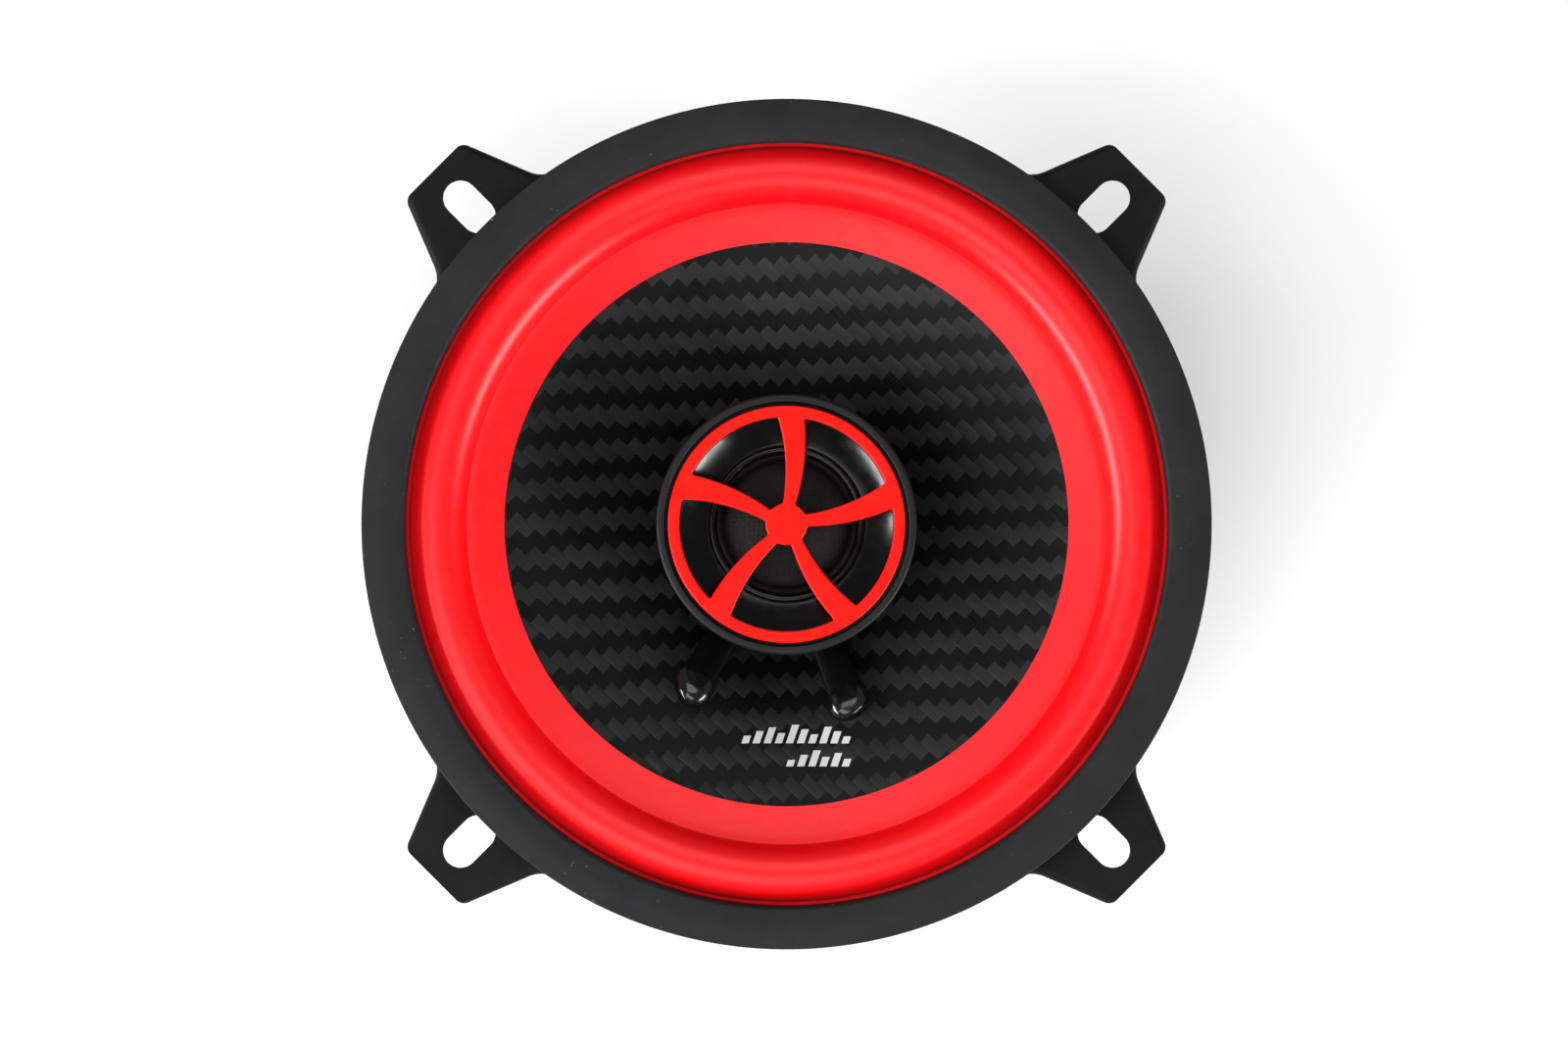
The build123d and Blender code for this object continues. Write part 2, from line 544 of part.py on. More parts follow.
with BuildPart() as tweeter_coil_winding:
    with BuildSketch(Plane.XY.offset(1.3)):
        Circle(SMALL_FORMER_R + SMALL_WINDING_T)
        Circle(SMALL_FORMER_R, mode=Mode.SUBTRACT)
    extrude(amount=1.9)
tweeter_coil_winding.part.label = "tweeter_coil_winding"

# Glossy face with its flare, and the red guard over the dome
with BuildPart() as tweeter_faceplate:
    with BuildSketch(Plane.XZ):
        seat = DOME_BASE + DOME_T / 2
        ring_seat = GUARD_TOP - 1.2
        with BuildLine():
            flare = ThreePointArc((12.6, 4.95), (14.8, 5.97), (GUARD_RING_INNER_R, ring_seat))
            Polyline(
                flare @ 1,
                (POD_MOUTH_R - 0.1, ring_seat),
                (POD_MOUTH_R - 0.1, FACE_LEDGE),
                (17.0, FACE_LEDGE),
                (13.3, seat),
                (11.3, seat),
                (11.3, 5.1),
                (11.6, 5.3),
                (12.1, 5.3),
                flare @ 0,
            )
        make_face()
    revolve(axis=Axis.Z)
tweeter_faceplate.part.label = "tweeter_faceplate"

with BuildPart() as tweeter_guard:
    with BuildSketch(Plane.XY.offset(GUARD_TOP - 1.2)):
        Circle(GUARD_RING_R)
        Circle(GUARD_RING_INNER_R, mode=Mode.SUBTRACT)
    extrude(amount=1.2)
    with BuildSketch(Plane.XY.offset(GUARD_TOP - GUARD_T)):
        Circle(GUARD_HUB_R)
        for blade in range(BLADE_COUNT):
            azimuth = TERMINAL_AZ + 180 + blade * 360 / BLADE_COUNT
            with BuildLine():
                edge_a = ThreePointArc(
                    polar(2.0, azimuth - 26, 0), polar(10, azimuth - 16, 0), polar(17.4, azimuth - 9, 0)
                )
                edge_b = ThreePointArc(
                    polar(2.0, azimuth + 26, 0), polar(10, azimuth + 1, 0), polar(17.4, azimuth + 5, 0)
                )
                Line(edge_a @ 0, edge_b @ 0)
                Line(edge_a @ 1, edge_b @ 1)
            make_face()
    extrude(amount=GUARD_T)
    chamfer(tweeter_guard.edges().group_by(Axis.Z)[-1].sort_by(SortBy.RADIUS)[-1], 0.2)
tweeter_guard.part.label = "tweeter_guard"

# High-pass capacitor, lying in the pod beside the boss, with its two wires
cap_middle = polar(CAPACITOR_RING_R, CAPACITOR_AZ, CAPACITOR_MID)
cap_along = polar(1, CAPACITOR_AZ + 90, 0)
cap_plane = Plane(cap_middle - cap_along * (CAPACITOR_LENGTH / 2), z_dir=cap_along)
with BuildPart() as crossover_capacitor:
    with BuildSketch(cap_plane):
        Circle(CAPACITOR_R)
    extrude(amount=CAPACITOR_LENGTH)
    fillet(crossover_capacitor.edges(), 0.4)
crossover_capacitor.part.label = "crossover_capacitor"

with BuildPart() as capacitor_wires:
    for end in (1, -1):
        face = cap_middle + cap_along * (end * CAPACITOR_LENGTH / 2)
        far_azimuth = CAPACITOR_AZ + end * 48
        stops = [
            face,
            face + cap_along * (end * 1.6) - polar(0.5, CAPACITOR_AZ, 0),
            polar(CAPACITOR_RING_R + 0.2, CAPACITOR_AZ + end * 34, CAPACITOR_MID + 0.2),
            polar(CAPACITOR_RING_R + 0.2, far_azimuth, CAPACITOR_MID + 1.2),
        ]
        with BuildLine() as wire:
            FilletPolyline(*stops, radius=tube_radii(stops))
        with BuildSketch(path_plane(wire.line)):
            Circle(FINE_WIRE_R)
        sweep(path=wire.line)
capacitor_wires.part.label = "capacitor_wires"

# Sleeved leads from the pod down to the cone's eyelets
lead_parts = []
normal_r, normal_z = cone_normal(LEAD_R)
for azimuth, name in zip(LEAD_AZIMUTHS, ("tweeter_lead_left", "tweeter_lead_right")):
    lift = CONE_T / 2 + LEAD_WIRE_R + 0.1
    last_r, last_z = cone_point(LEAD_R, lift)
    end_r, end_z = last_r - 0.8 * normal_z, last_z + 0.8 * normal_r
    start_r, start_z = last_r - 7.0 * normal_z, last_z + 7.0 * normal_r
    stops = [
        polar(LEAD_EXIT_R, azimuth, POD_FLOOR_BOTTOM + 0.6),
        polar(LEAD_EXIT_R, azimuth, POD_FLOOR_BOTTOM - 2.0),
        polar(LEAD_EXIT_R + 3.0, azimuth, POD_FLOOR_BOTTOM - 3.3),
        polar(start_r, azimuth, start_z),
        polar(end_r, azimuth, end_z),
    ]
    with BuildPart() as tweeter_lead:
        with BuildLine() as wire:
            FilletPolyline(*stops, radius=tube_radii(stops))
        with BuildSketch(path_plane(wire.line)):
            Circle(LEAD_WIRE_R)
        sweep(path=wire.line)
    tweeter_lead.part.label = name
    lead_parts.append(tweeter_lead)

# Glue domes over the eyelets and the leads' ends
glue_sphere_r = (GLUE_BASE_R**2 + GLUE_HEIGHT**2) / (2 * GLUE_HEIGHT)
with BuildPart() as glue_domes:
    for plane in lead_planes:
        with BuildPart(plane, mode=Mode.PRIVATE) as dome:
            with Locations((0, 0, CONE_T / 2 + GLUE_HEIGHT - glue_sphere_r)):
                Sphere(glue_sphere_r)
            split(bisect_by=plane, keep=Keep.TOP)
        add(dome.part)
    for inside in (cone, lead_eyelets, *lead_parts):
        add(inside.part, mode=Mode.SUBTRACT)
glue_domes.part.label = "glue_domes"

# Terminal board on its spoke, with the two tabs and the rivet
board_top = PAD_OUTER + BOARD_T
with BuildPart() as terminal_board:
    with BuildSketch(pad_plane.offset(PAD_OUTER)):
        RectangleRounded(*BOARD_SIZE, BOARD_CORNER_R)
        Circle(BOARD_RIVET_R, mode=Mode.SUBTRACT)
        with Locations((-TAB_OFFSET, 0), (TAB_OFFSET, 0)):
            Rectangle(TAB_T, LUG_WIDTH, mode=Mode.SUBTRACT)
    extrude(amount=BOARD_T)
terminal_board.part.label = "terminal_board"

tab_parts = []
for side, (name, width) in zip((1, -1), TAB_WIDTHS.items()):
    tab_origin = pad_plane.origin + pad_plane.x_dir * (side * TAB_OFFSET)
    tab_plane = Plane(tab_origin, x_dir=pad_plane.y_dir, z_dir=pad_plane.x_dir)
    with BuildPart() as tab:
        with BuildSketch(tab_plane.offset(-TAB_T / 2)):
            with Locations((0, board_top + TAB_LENGTH / 2)):
                blade = Rectangle(width, TAB_LENGTH)
            chamfer(blade.vertices().group_by(Axis.Y)[-1], 0.9)
            with Locations((0, board_top + TAB_SHOULDER_T / 2)):
                Rectangle(width + TAB_SHOULDER, TAB_SHOULDER_T)
            with Locations((0, board_top - LUG_LENGTH / 2)):
                Rectangle(LUG_WIDTH, LUG_LENGTH)
            with Locations((0, board_top - LUG_LENGTH)):
                Circle(LUG_WIDTH / 2)
                Circle(LUG_HOLE_R, mode=Mode.SUBTRACT)
            with Locations((0, board_top + 0.62 * TAB_LENGTH)):
                Circle(0.7, mode=Mode.SUBTRACT)
        extrude(amount=TAB_T)
    tab.part.label = name
    tab_parts.append(tab)

with BuildPart() as terminal_rivet:
    with BuildSketch(pad_plane.offset(PAD_INNER)):
        Circle(BOARD_RIVET_R)
    extrude(amount=board_top - PAD_INNER)
    with BuildSketch(pad_plane.offset(board_top)):
        Circle(BOARD_RIVET_HEAD_R)
    extrude(amount=BOARD_RIVET_HEAD_T)
    with BuildSketch(pad_plane.offset(PAD_INNER - BOARD_RIVET_HEAD_T)):
        Circle(BOARD_RIVET_HEAD_R)
    extrude(amount=BOARD_RIVET_HEAD_T)
terminal_rivet.part.label = "terminal_rivet"

# Woven tinsel leads, slack between an eyelet's back and a terminal's lug
spoke_out, spoke_side = polar(1, TERMINAL_AZ, 0), polar(1, TERMINAL_AZ + 90, 0)
lug_tip = pad_plane.origin + pad_plane.z_dir * (board_top - LUG_LENGTH - LUG_WIDTH / 2 + TINSEL_BITE)
tinsel_parts = []
names = ("tinsel_lead_left", "tinsel_lead_right")
for plane, side, name in zip(lead_planes, (-1, 1), names):
    eyelet_end = plane.origin - plane.z_dir * EYELET_BACK
    below_eyelet = eyelet_end - plane.z_dir * TINSEL_STUB
    lug_side = side * TAB_OFFSET
    stops = [eyelet_end, below_eyelet]
    for out, share, height in TINSEL_STOPS:
        sideways = below_eyelet.dot(spoke_side) * (1 - share) + lug_side * share
        stops.append(spoke_out * out + spoke_side * sideways + Vector(0, 0, height))
    stops.append(lug_tip + spoke_side * lug_side)
    with BuildPart() as tinsel_lead:
        with BuildLine() as wire:
            FilletPolyline(*stops, radius=tube_radii(stops))
        with BuildSketch(path_plane(wire.line)):
            Circle(TINSEL_R)
        sweep(path=wire.line)
    tinsel_lead.part.label = name
    tinsel_parts.append(tinsel_lead)
    print(name, "length", round(wire.wires()[0].length, 1), "radii", [round(r, 1) for r in tube_radii(stops)])

pieces = [
    basket, front_gasket, surround, cone, lead_eyelets, coil_leadouts, voice_coil_former, voice_coil_winding,
    spider, top_plate, plate_rivets, magnet, pole_yoke, tweeter_post, tweeter_bolt, tweeter_nut,
    tweeter_housing, tweeter_yoke, tweeter_magnet, tweeter_pole_plate, tweeter_diaphragm_ring,
    tweeter_suspension, tweeter_dome, tweeter_coil_former, tweeter_coil_winding, tweeter_faceplate,
    tweeter_guard, crossover_capacitor, capacitor_wires, glue_domes, terminal_board, terminal_rivet,
    *lead_parts, *tab_parts, *tinsel_parts,
]
for piece in pieces:
    export_step(piece.part, f"parts/{piece.part.label}.step")
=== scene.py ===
"""Looks of a coaxial car speaker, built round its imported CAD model.

Lengths are written in millimetres and turned into metres by MM. The frame is the CAD's: +Z is the
speaker's axis towards the listener and Z = 0 is the plane of the door panel. Sections are (radius, height).
"""

import json
from math import atan2, cos, degrees, hypot, pi, radians, sin, sqrt

import bpy
from mathutils import Matrix, Vector
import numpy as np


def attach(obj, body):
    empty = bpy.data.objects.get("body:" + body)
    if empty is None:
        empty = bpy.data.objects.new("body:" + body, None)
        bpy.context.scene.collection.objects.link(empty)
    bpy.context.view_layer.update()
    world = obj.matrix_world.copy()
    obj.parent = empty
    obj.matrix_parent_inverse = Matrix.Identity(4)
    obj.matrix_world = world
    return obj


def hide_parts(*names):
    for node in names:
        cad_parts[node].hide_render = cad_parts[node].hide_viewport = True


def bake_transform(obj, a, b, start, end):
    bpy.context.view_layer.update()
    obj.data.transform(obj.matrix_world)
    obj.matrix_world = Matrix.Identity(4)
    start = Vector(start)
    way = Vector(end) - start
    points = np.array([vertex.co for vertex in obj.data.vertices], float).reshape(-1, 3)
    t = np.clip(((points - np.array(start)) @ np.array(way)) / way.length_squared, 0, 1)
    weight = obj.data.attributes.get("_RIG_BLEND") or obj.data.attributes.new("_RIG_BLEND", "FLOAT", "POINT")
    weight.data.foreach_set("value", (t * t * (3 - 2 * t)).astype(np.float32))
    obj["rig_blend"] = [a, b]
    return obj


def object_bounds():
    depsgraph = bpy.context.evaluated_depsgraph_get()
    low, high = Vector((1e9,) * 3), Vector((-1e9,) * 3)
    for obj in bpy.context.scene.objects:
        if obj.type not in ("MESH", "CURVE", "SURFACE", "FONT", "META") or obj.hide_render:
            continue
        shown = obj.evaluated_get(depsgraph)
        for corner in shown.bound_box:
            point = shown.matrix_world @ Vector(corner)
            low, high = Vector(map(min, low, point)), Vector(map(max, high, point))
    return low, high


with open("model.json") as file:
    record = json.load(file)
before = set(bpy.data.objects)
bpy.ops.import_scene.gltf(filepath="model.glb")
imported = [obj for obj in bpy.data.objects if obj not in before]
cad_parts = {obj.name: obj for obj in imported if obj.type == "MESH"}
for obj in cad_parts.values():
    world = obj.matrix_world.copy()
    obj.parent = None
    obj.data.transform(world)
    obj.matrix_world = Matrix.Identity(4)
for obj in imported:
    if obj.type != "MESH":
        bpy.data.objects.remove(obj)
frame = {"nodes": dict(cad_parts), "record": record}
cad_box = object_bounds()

MM = 0.001
RIGHT = Vector((1, -1, 0)).normalized()  # the picture's right and up, in the speaker's frame
UP = Vector((1, 1, 0)).normalized()

# ---------------------------------------------------------------- camera, floor and lights

CAMERA_DISTANCE = 900 * MM
PICTURE_WIDTH = 247 * MM  # what the picture takes in at the height of the speaker's front
SENSOR_WIDTH = 36.0
FRONT_HEIGHT = 6 * MM
CAMERA_RIGHT, CAMERA_UP = -0.0004, 0.00026  # metres that the picture's centre lies off the axis

FLOOR_WIDTH = 6.0  # metres, as the lights' distances and sizes are
PANEL_SIZE, PANEL_DISTANCE, PANEL_ELEVATION = (1.0, 0.6), 1.2, 64
STRIP_WIDTH, STRIP_DISTANCE, STRIP_ELEVATION = 0.23, 1.1, 18


def make_camera():
    data = bpy.data.cameras.new("camera")
    data.sensor_width = SENSOR_WIDTH
    data.lens = SENSOR_WIDTH * CAMERA_DISTANCE / PICTURE_WIDTH
    data.clip_start, data.clip_end = 0.05, 20.0
    camera = bpy.data.objects.new("camera", data)
    height = FRONT_HEIGHT + CAMERA_DISTANCE
    camera.location = CAMERA_RIGHT * RIGHT + CAMERA_UP * UP + Vector((0, 0, height))
    camera.rotation_euler = (0, 0, -radians(45))
    bpy.context.scene.collection.objects.link(camera)
    bpy.context.scene.camera = camera


def make_light(name, towards, distance, size, power):
    """A rectangular softbox at a distance along a direction, facing the speaker."""
    data = bpy.data.lights.new(name, "AREA")
    data.shape = "RECTANGLE"
    data.size, data.size_y = size
    data.energy = power
    light = bpy.data.objects.new(name, data)
    light.location = Vector(towards).normalized() * distance
    light.rotation_euler = Vector(towards).to_track_quat("Z", "Y").to_euler()
    bpy.context.scene.collection.objects.link(light)


def from_picture(turn, elevation):
    """A direction by its elevation and its turn in the picture, from the right towards the top."""
    flat = RIGHT * cos(radians(turn)) + UP * sin(radians(turn))
    return flat * cos(radians(elevation)) + Vector((0, 0, sin(radians(elevation))))


def make_stage():
    low, half = cad_box[0].z, FLOOR_WIDTH / 2
    mesh = bpy.data.meshes.new("floor")
    corners = [(-half, -half, low), (half, -half, low), (half, half, low), (-half, half, low)]
    mesh.from_pydata(corners, [], [(0, 1, 2, 3)])
    floor = bpy.data.objects.new("floor", mesh)
    bpy.context.scene.collection.objects.link(floor)
    pale = bpy.data.materials.new("floor_white")
    pale.use_nodes = True
    shader = pale.node_tree.nodes["Principled BSDF"]
    shader.inputs["Base Color"].default_value = (0.97, 0.97, 0.97, 1)
    shader.inputs["Roughness"].default_value = 0.9
    mesh.materials.append(pale)
    world = bpy.data.worlds.new("studio")
    world.use_nodes = True
    background = world.node_tree.nodes["Background"]
    background.inputs["Color"].default_value = (1.0, 1.0, 1.0, 1)
    background.inputs["Strength"].default_value = 0.22
    bpy.context.scene.world = world
    bpy.context.scene.view_settings.view_transform = "Standard"
    for name, turn, power in (("panel_top", 90, 4.1), ("panel_bottom", -126, 5.7)):
        make_light(name, from_picture(turn, PANEL_ELEVATION), PANEL_DISTANCE, PANEL_SIZE, power)
    for name, turn, length, power in (("strip_left", 201, 0.95, 16), ("strip_right", 325, 0.63, 11)):
        make_light(name, from_picture(turn, STRIP_ELEVATION), STRIP_DISTANCE, (length, STRIP_WIDTH), power)


make_camera()
make_stage()

# ---------------------------------------------------------------- node materials


class Look:
    """A node material: its Principled shader, and short ways to add nodes in the piece's own space."""

    def __init__(self, name, color, roughness, **sockets):
        self.material = bpy.data.materials.new(name)
        self.material.use_nodes = True
        tree = self.material.node_tree
        self.nodes, self.links = tree.nodes, tree.links
        self.shader = self.nodes["Principled BSDF"]
        self.set("Base Color", (*color, 1))
        self.set("Roughness", roughness)
        for socket, value in sockets.items():
            self.set(socket.replace("_", " "), value)
        self.place = self.nodes.new("ShaderNodeTexCoord").outputs["Object"]

    def set(self, socket, value):
        """Gives one of the shader's sockets a constant or the output of a node."""
        self.feed(self.shader.inputs[socket], value)

    def feed(self, target, value):
        if isinstance(value, bpy.types.NodeSocket):
            self.links.new(value, target)
        else:
            target.default_value = value

    def math(self, operation, *values):
        node = self.nodes.new("ShaderNodeMath")
        node.operation = operation
        for socket, value in zip(node.inputs, values):
            self.feed(socket, value)
        return node.outputs[0]

    def axes(self, place=None):
        node = self.nodes.new("ShaderNodeSeparateXYZ")
        self.links.new(place or self.place, node.inputs[0])
        return node.outputs

    def vector(self, x, y, z):
        node = self.nodes.new("ShaderNodeCombineXYZ")
        for socket, value in zip(node.inputs, (x, y, z)):
            self.feed(socket, value)
        return node.outputs[0]

    def noise(self, size, detail=2.0, place=None):
        """Noise from 0 to 1 whose blotches are about size millimetres across."""
        node = self.nodes.new("ShaderNodeTexNoise")
        self.links.new(place or self.place, node.inputs["Vector"])
        node.inputs["Scale"].default_value = 1 / (size * MM)
        node.inputs["Detail"].default_value = detail
        return node.outputs["Fac"]

    def range(self, value, low, high, to_low=0.0, to_high=1.0):
        node = self.nodes.new("ShaderNodeMapRange")
        for socket, number in zip(node.inputs, (value, low, high, to_low, to_high)):
            self.feed(socket, number)
        return node.outputs[0]

    def blend(self, share, color_a, color_b):
        node = self.nodes.new("ShaderNodeMix")
        node.data_type = "RGBA"
        self.feed(node.inputs["Factor"], share)
        for socket, color in zip(("A", "B"), (color_a, color_b)):
            target = [s for s in node.inputs if s.name == socket and s.type == "RGBA"][0]
            self.feed(target, (*color, 1) if isinstance(color, tuple) else color)
        return [s for s in node.outputs if s.type == "RGBA"][0]

    def bump(self, height, depth):
        """Bumps of depth millimetres where height goes from 0 to 1, over any bumps already there."""
        node = self.nodes.new("ShaderNodeBump")
        node.inputs["Distance"].default_value = depth * MM
        self.links.new(height, node.inputs["Height"])
        before = self.shader.inputs["Normal"]
        if before.is_linked:
            self.links.new(before.links[0].from_socket, node.inputs["Normal"])
        self.links.new(node.outputs[0], before)

    def radius(self):
        x, y, _ = self.axes()
        squares = self.math("ADD", self.math("MULTIPLY", x, x), self.math("MULTIPLY", y, y))
        return self.math("POWER", squares, 0.5)


def plastic_look(name, dark, light, roughness, grain=0.35, depth=0.012, **sockets):
    """Moulded plastic or rubber: fine grain, faint cloudiness and uneven gloss."""
    look = Look(name, dark, roughness, **sockets)
    cloud = look.noise(9, 3)
    look.set("Base Color", look.blend(look.range(cloud, 0.35, 0.7), dark, light))
    fine = look.noise(grain, 2)
    look.set("Roughness", look.range(look.noise(2.5, 3), 0.3, 0.7, roughness - 0.05, roughness + 0.06))
    look.bump(fine, depth)
    return look


def gasket_look():
    look = plastic_look("gasket_rubber_look", (0.0085, 0.008, 0.0094), (0.0125, 0.012, 0.0134), 0.62,
                        0.3, 0.02, Specular_IOR_Level=0.24)
    specks = look.range(look.noise(0.8, 1), 0.72, 0.78)
    patches = look.range(look.noise(14, 2), 0.5, 0.62)
    dust = look.math("MULTIPLY", look.math("MULTIPLY", specks, patches), 0.5)
    base = look.shader.inputs["Base Color"].links[0].from_socket
    look.set("Base Color", look.blend(dust, base, (0.16, 0.16, 0.15)))
    return look.material


def surround_look():
    look = Look("surround_rubber_look", (0.9, 0.002, 0.006), 0.38, Specular_IOR_Level=0.37)
    cloud = look.noise(11, 2)
    look.set("Base Color", look.blend(look.range(cloud, 0.3, 0.7), (0.92, 0.0015, 0.005),
                                      (0.88, 0.0022, 0.006)))
    gloss = look.range(look.noise(1.6, 3), 0.3, 0.7, 0.33, 0.41)
    glued = look.range(look.radius(), 58.8 * MM, 59.6 * MM, 0.0, 0.5)  # duller where it is glued
    look.set("Roughness", look.math("ADD", gloss, glued))
    look.bump(look.noise(0.28, 2), 0.010)
    return look.material


WEAVE_PITCH = 1.95  # from one tow of the cone's weave to the next
WEAVE_TURN = 3.0
FIBRES = 9.0  # fine lines in a tow
TWILL_REPEAT = 4.0  # tows after which the weave starts again
WANDER = 0.12  # how far a tow strays, as a part of the pitch


def weave_look(name, bright, dark, roughness):
    """Two-over-two twill laid flat across the cone: broad tows, each a bundle of fibres."""
    look = Look(name, bright, roughness, Specular_IOR_Level=0.16)
    x, y, _ = look.axes()
    turn, pitch = radians(WEAVE_TURN), WEAVE_PITCH * MM
    along = look.math("ADD", look.math("MULTIPLY", x, cos(turn) / pitch),
                      look.math("MULTIPLY", y, sin(turn) / pitch))
    across = look.math("SUBTRACT", look.math("MULTIPLY", y, cos(turn) / pitch),
                       look.math("MULTIPLY", x, sin(turn) / pitch))
    # the tows wander a little, as pressed cloth does
    place = look.vector(along, across, 0.0)
    drift = look.nodes.new("ShaderNodeTexNoise")
    look.links.new(place, drift.inputs["Vector"])
    drift.inputs["Scale"].default_value = 0.12
    drift_x, drift_y, _ = look.axes(drift.outputs["Color"])
    along = look.math("ADD", along, look.range(drift_x, 0.3, 0.7, -WANDER, WANDER))
    across = look.math("ADD", across, look.range(drift_y, 0.3, 0.7, -WANDER, WANDER))
    warp, weft = look.math("FLOOR", along), look.math("FLOOR", across)
    in_warp = look.math("SUBTRACT", along, warp)
    in_weft = look.math("SUBTRACT", across, weft)
    warp_run = look.math("FLOORED_MODULO", look.math("ADD", warp, across), TWILL_REPEAT)
    weft_run = look.math("FLOORED_MODULO", look.math("ADD", weft, along), TWILL_REPEAT)
    step = look.math("FLOORED_MODULO", look.math("ADD", warp, weft), TWILL_REPEAT)
    warp_on_top = look.math("LESS_THAN", step, 1.5)

    def fibres(across_tow, run, tow):
        """Fine lines along a tow."""
        return look.noise(1000.0, 1, look.vector(look.math("MULTIPLY", across_tow, FIBRES),
                                                 look.math("MULTIPLY", run, 0.35), tow))

    # a warp float is round across its width and arched along its run; its lighter colour is a painted sheen
    arch = look.math("SINE", look.math("MULTIPLY", warp_run, pi / 2))
    round_top = look.math("SINE", look.math("MULTIPLY", in_warp, pi))
    shape = look.math("MULTIPLY", warp_on_top, look.math("POWER", look.math(
        "MAXIMUM", look.math("MULTIPLY", arch, round_top), 0.0), 0.5))
    repeats = look.math("DIVIDE", look.math("ADD", warp, across), TWILL_REPEAT)
    float_number = look.math("FLOOR", repeats)
    lot = look.nodes.new("ShaderNodeTexWhiteNoise")
    look.links.new(look.vector(warp, float_number, 0.0), lot.inputs["Vector"])
    warp_fibre, weft_fibre = fibres(in_warp, warp_run, warp), fibres(in_weft, weft_run, weft)
    # painted sheen: the warp floats take the bright colour, varied by each float's own tone and its fibre
    # lines
    tone_and_sheen = look.math("MULTIPLY", warp_on_top, look.range(lot.outputs["Value"], 0.0, 1.0, 0.7, 1.1))
    tone_and_sheen = look.math("MULTIPLY", tone_and_sheen, look.range(warp_fibre, 0.3, 0.7, 0.7, 1.15))
    look.set("Base Color", look.blend(tone_and_sheen, dark, bright))
    resin = look.math("MULTIPLY", look.range(look.noise(9, 2), 0.45, 0.65),
                      look.range(warp_fibre, 0.45, 0.6))
    satin = look.math("ADD", roughness - 0.05, look.math("MULTIPLY", weft_fibre, 0.1))
    look.set("Roughness", look.math("SUBTRACT", satin, look.math("MULTIPLY", resin, 0.2)))
    look.bump(shape, 0.08)
    look.bump(look.math("MULTIPLY", warp_on_top, warp_fibre), 0.012)
    return look.material


def paint_look():
    look = Look("painted_steel_look", (0.012, 0.012, 0.0124), 0.42, Specular_IOR_Level=0.04)
    look.set("Base Color", look.blend(look.range(look.noise(7, 3), 0.35, 0.7), (0.0105, 0.0105, 0.011),
                                      (0.0135, 0.0135, 0.014)))
    look.set("Roughness", look.range(look.noise(1.8, 3), 0.3, 0.7, 0.34, 0.46))
    look.bump(look.noise(0.9, 2), 0.02)
    look.bump(look.noise(0.2, 1), 0.004)
    return look.material


def metal_look(name, color, tint, roughness, ring_size=0.12, depth=0.006, lined=True):
    """Plated or turned metal: stains, with tool rings round the axis where it is lined."""
    look = Look(name, color, roughness, Metallic=1.0)
    rings = look.noise(ring_size, 2, look.vector(look.radius(), 0.0, 0.0)) if lined else look.noise(0.4, 3)
    stain = look.noise(6, 4)
    look.set("Base Color", look.blend(look.range(stain, 0.35, 0.7), color, tint))
    look.set("Roughness", look.range(look.math("ADD", rings, look.math("MULTIPLY", stain, 0.6)), 0.5, 1.1,
                                     roughness - 0.07, roughness + 0.12))
    look.bump(rings, depth)
    return look.material


def ferrite_look():
    look = Look("ferrite_look", (0.028, 0.028, 0.03), 0.6)
    pores = look.range(look.noise(0.35, 2), 0.68, 0.76)
    cloud = look.range(look.noise(5, 4), 0.35, 0.7)
    look.set("Base Color", look.blend(pores, look.blend(cloud, (0.024, 0.024, 0.026), (0.04, 0.04, 0.043)),
                                      (0.008, 0.008, 0.008)))
    _, _, height = look.axes()
    ground = look.noise(0.25, 2, look.vector(0.0, 0.0, height))
    look.set("Roughness", look.range(look.noise(0.8, 3), 0.3, 0.7, 0.5, 0.7))
    look.bump(look.math("ADD", ground, look.math("MULTIPLY", pores, -1.0)), 0.02)
    return look.material


def wound_look(name, color, pitch, roughness=0.3):
    """Enamelled wire wound side by side along the axis."""
    look = Look(name, color, roughness, Metallic=0.9, Coat_Weight=0.5, Coat_Roughness=0.12)
    _, _, height = look.axes()
    turns = look.math("SINE", look.math("MULTIPLY", height, 2 * pi / (pitch * MM)))
    look.set("Base Color", look.blend(look.range(look.noise(1.5, 2), 0.3, 0.7), color,
                                      tuple(0.7 * part for part in color)))
    look.bump(look.range(turns, -1.0, 1.0), 0.04)
    return look.material


def cloth_look(name, bright, dark, thread, roughness=0.85, **sockets):
    """Plain woven cloth."""
    look = Look(name, bright, roughness, **sockets)
    x, y, _ = look.axes()
    scale = 2 * pi / (2 * thread * MM)
    wave_x = look.math("SINE", look.math("MULTIPLY", x, scale))
    wave_y = look.math("SINE", look.math("MULTIPLY", y, scale))
    weave = look.range(look.math("MULTIPLY", wave_x, wave_y), -1.0, 1.0)
    cloud = look.range(look.noise(4, 3), 0.3, 0.7)
    look.set("Base Color", look.blend(look.math("MULTIPLY", weave, cloud), dark, bright))
    look.bump(weave, 0.06)
    look.bump(look.noise(0.1, 2), 0.02)
    return look.material


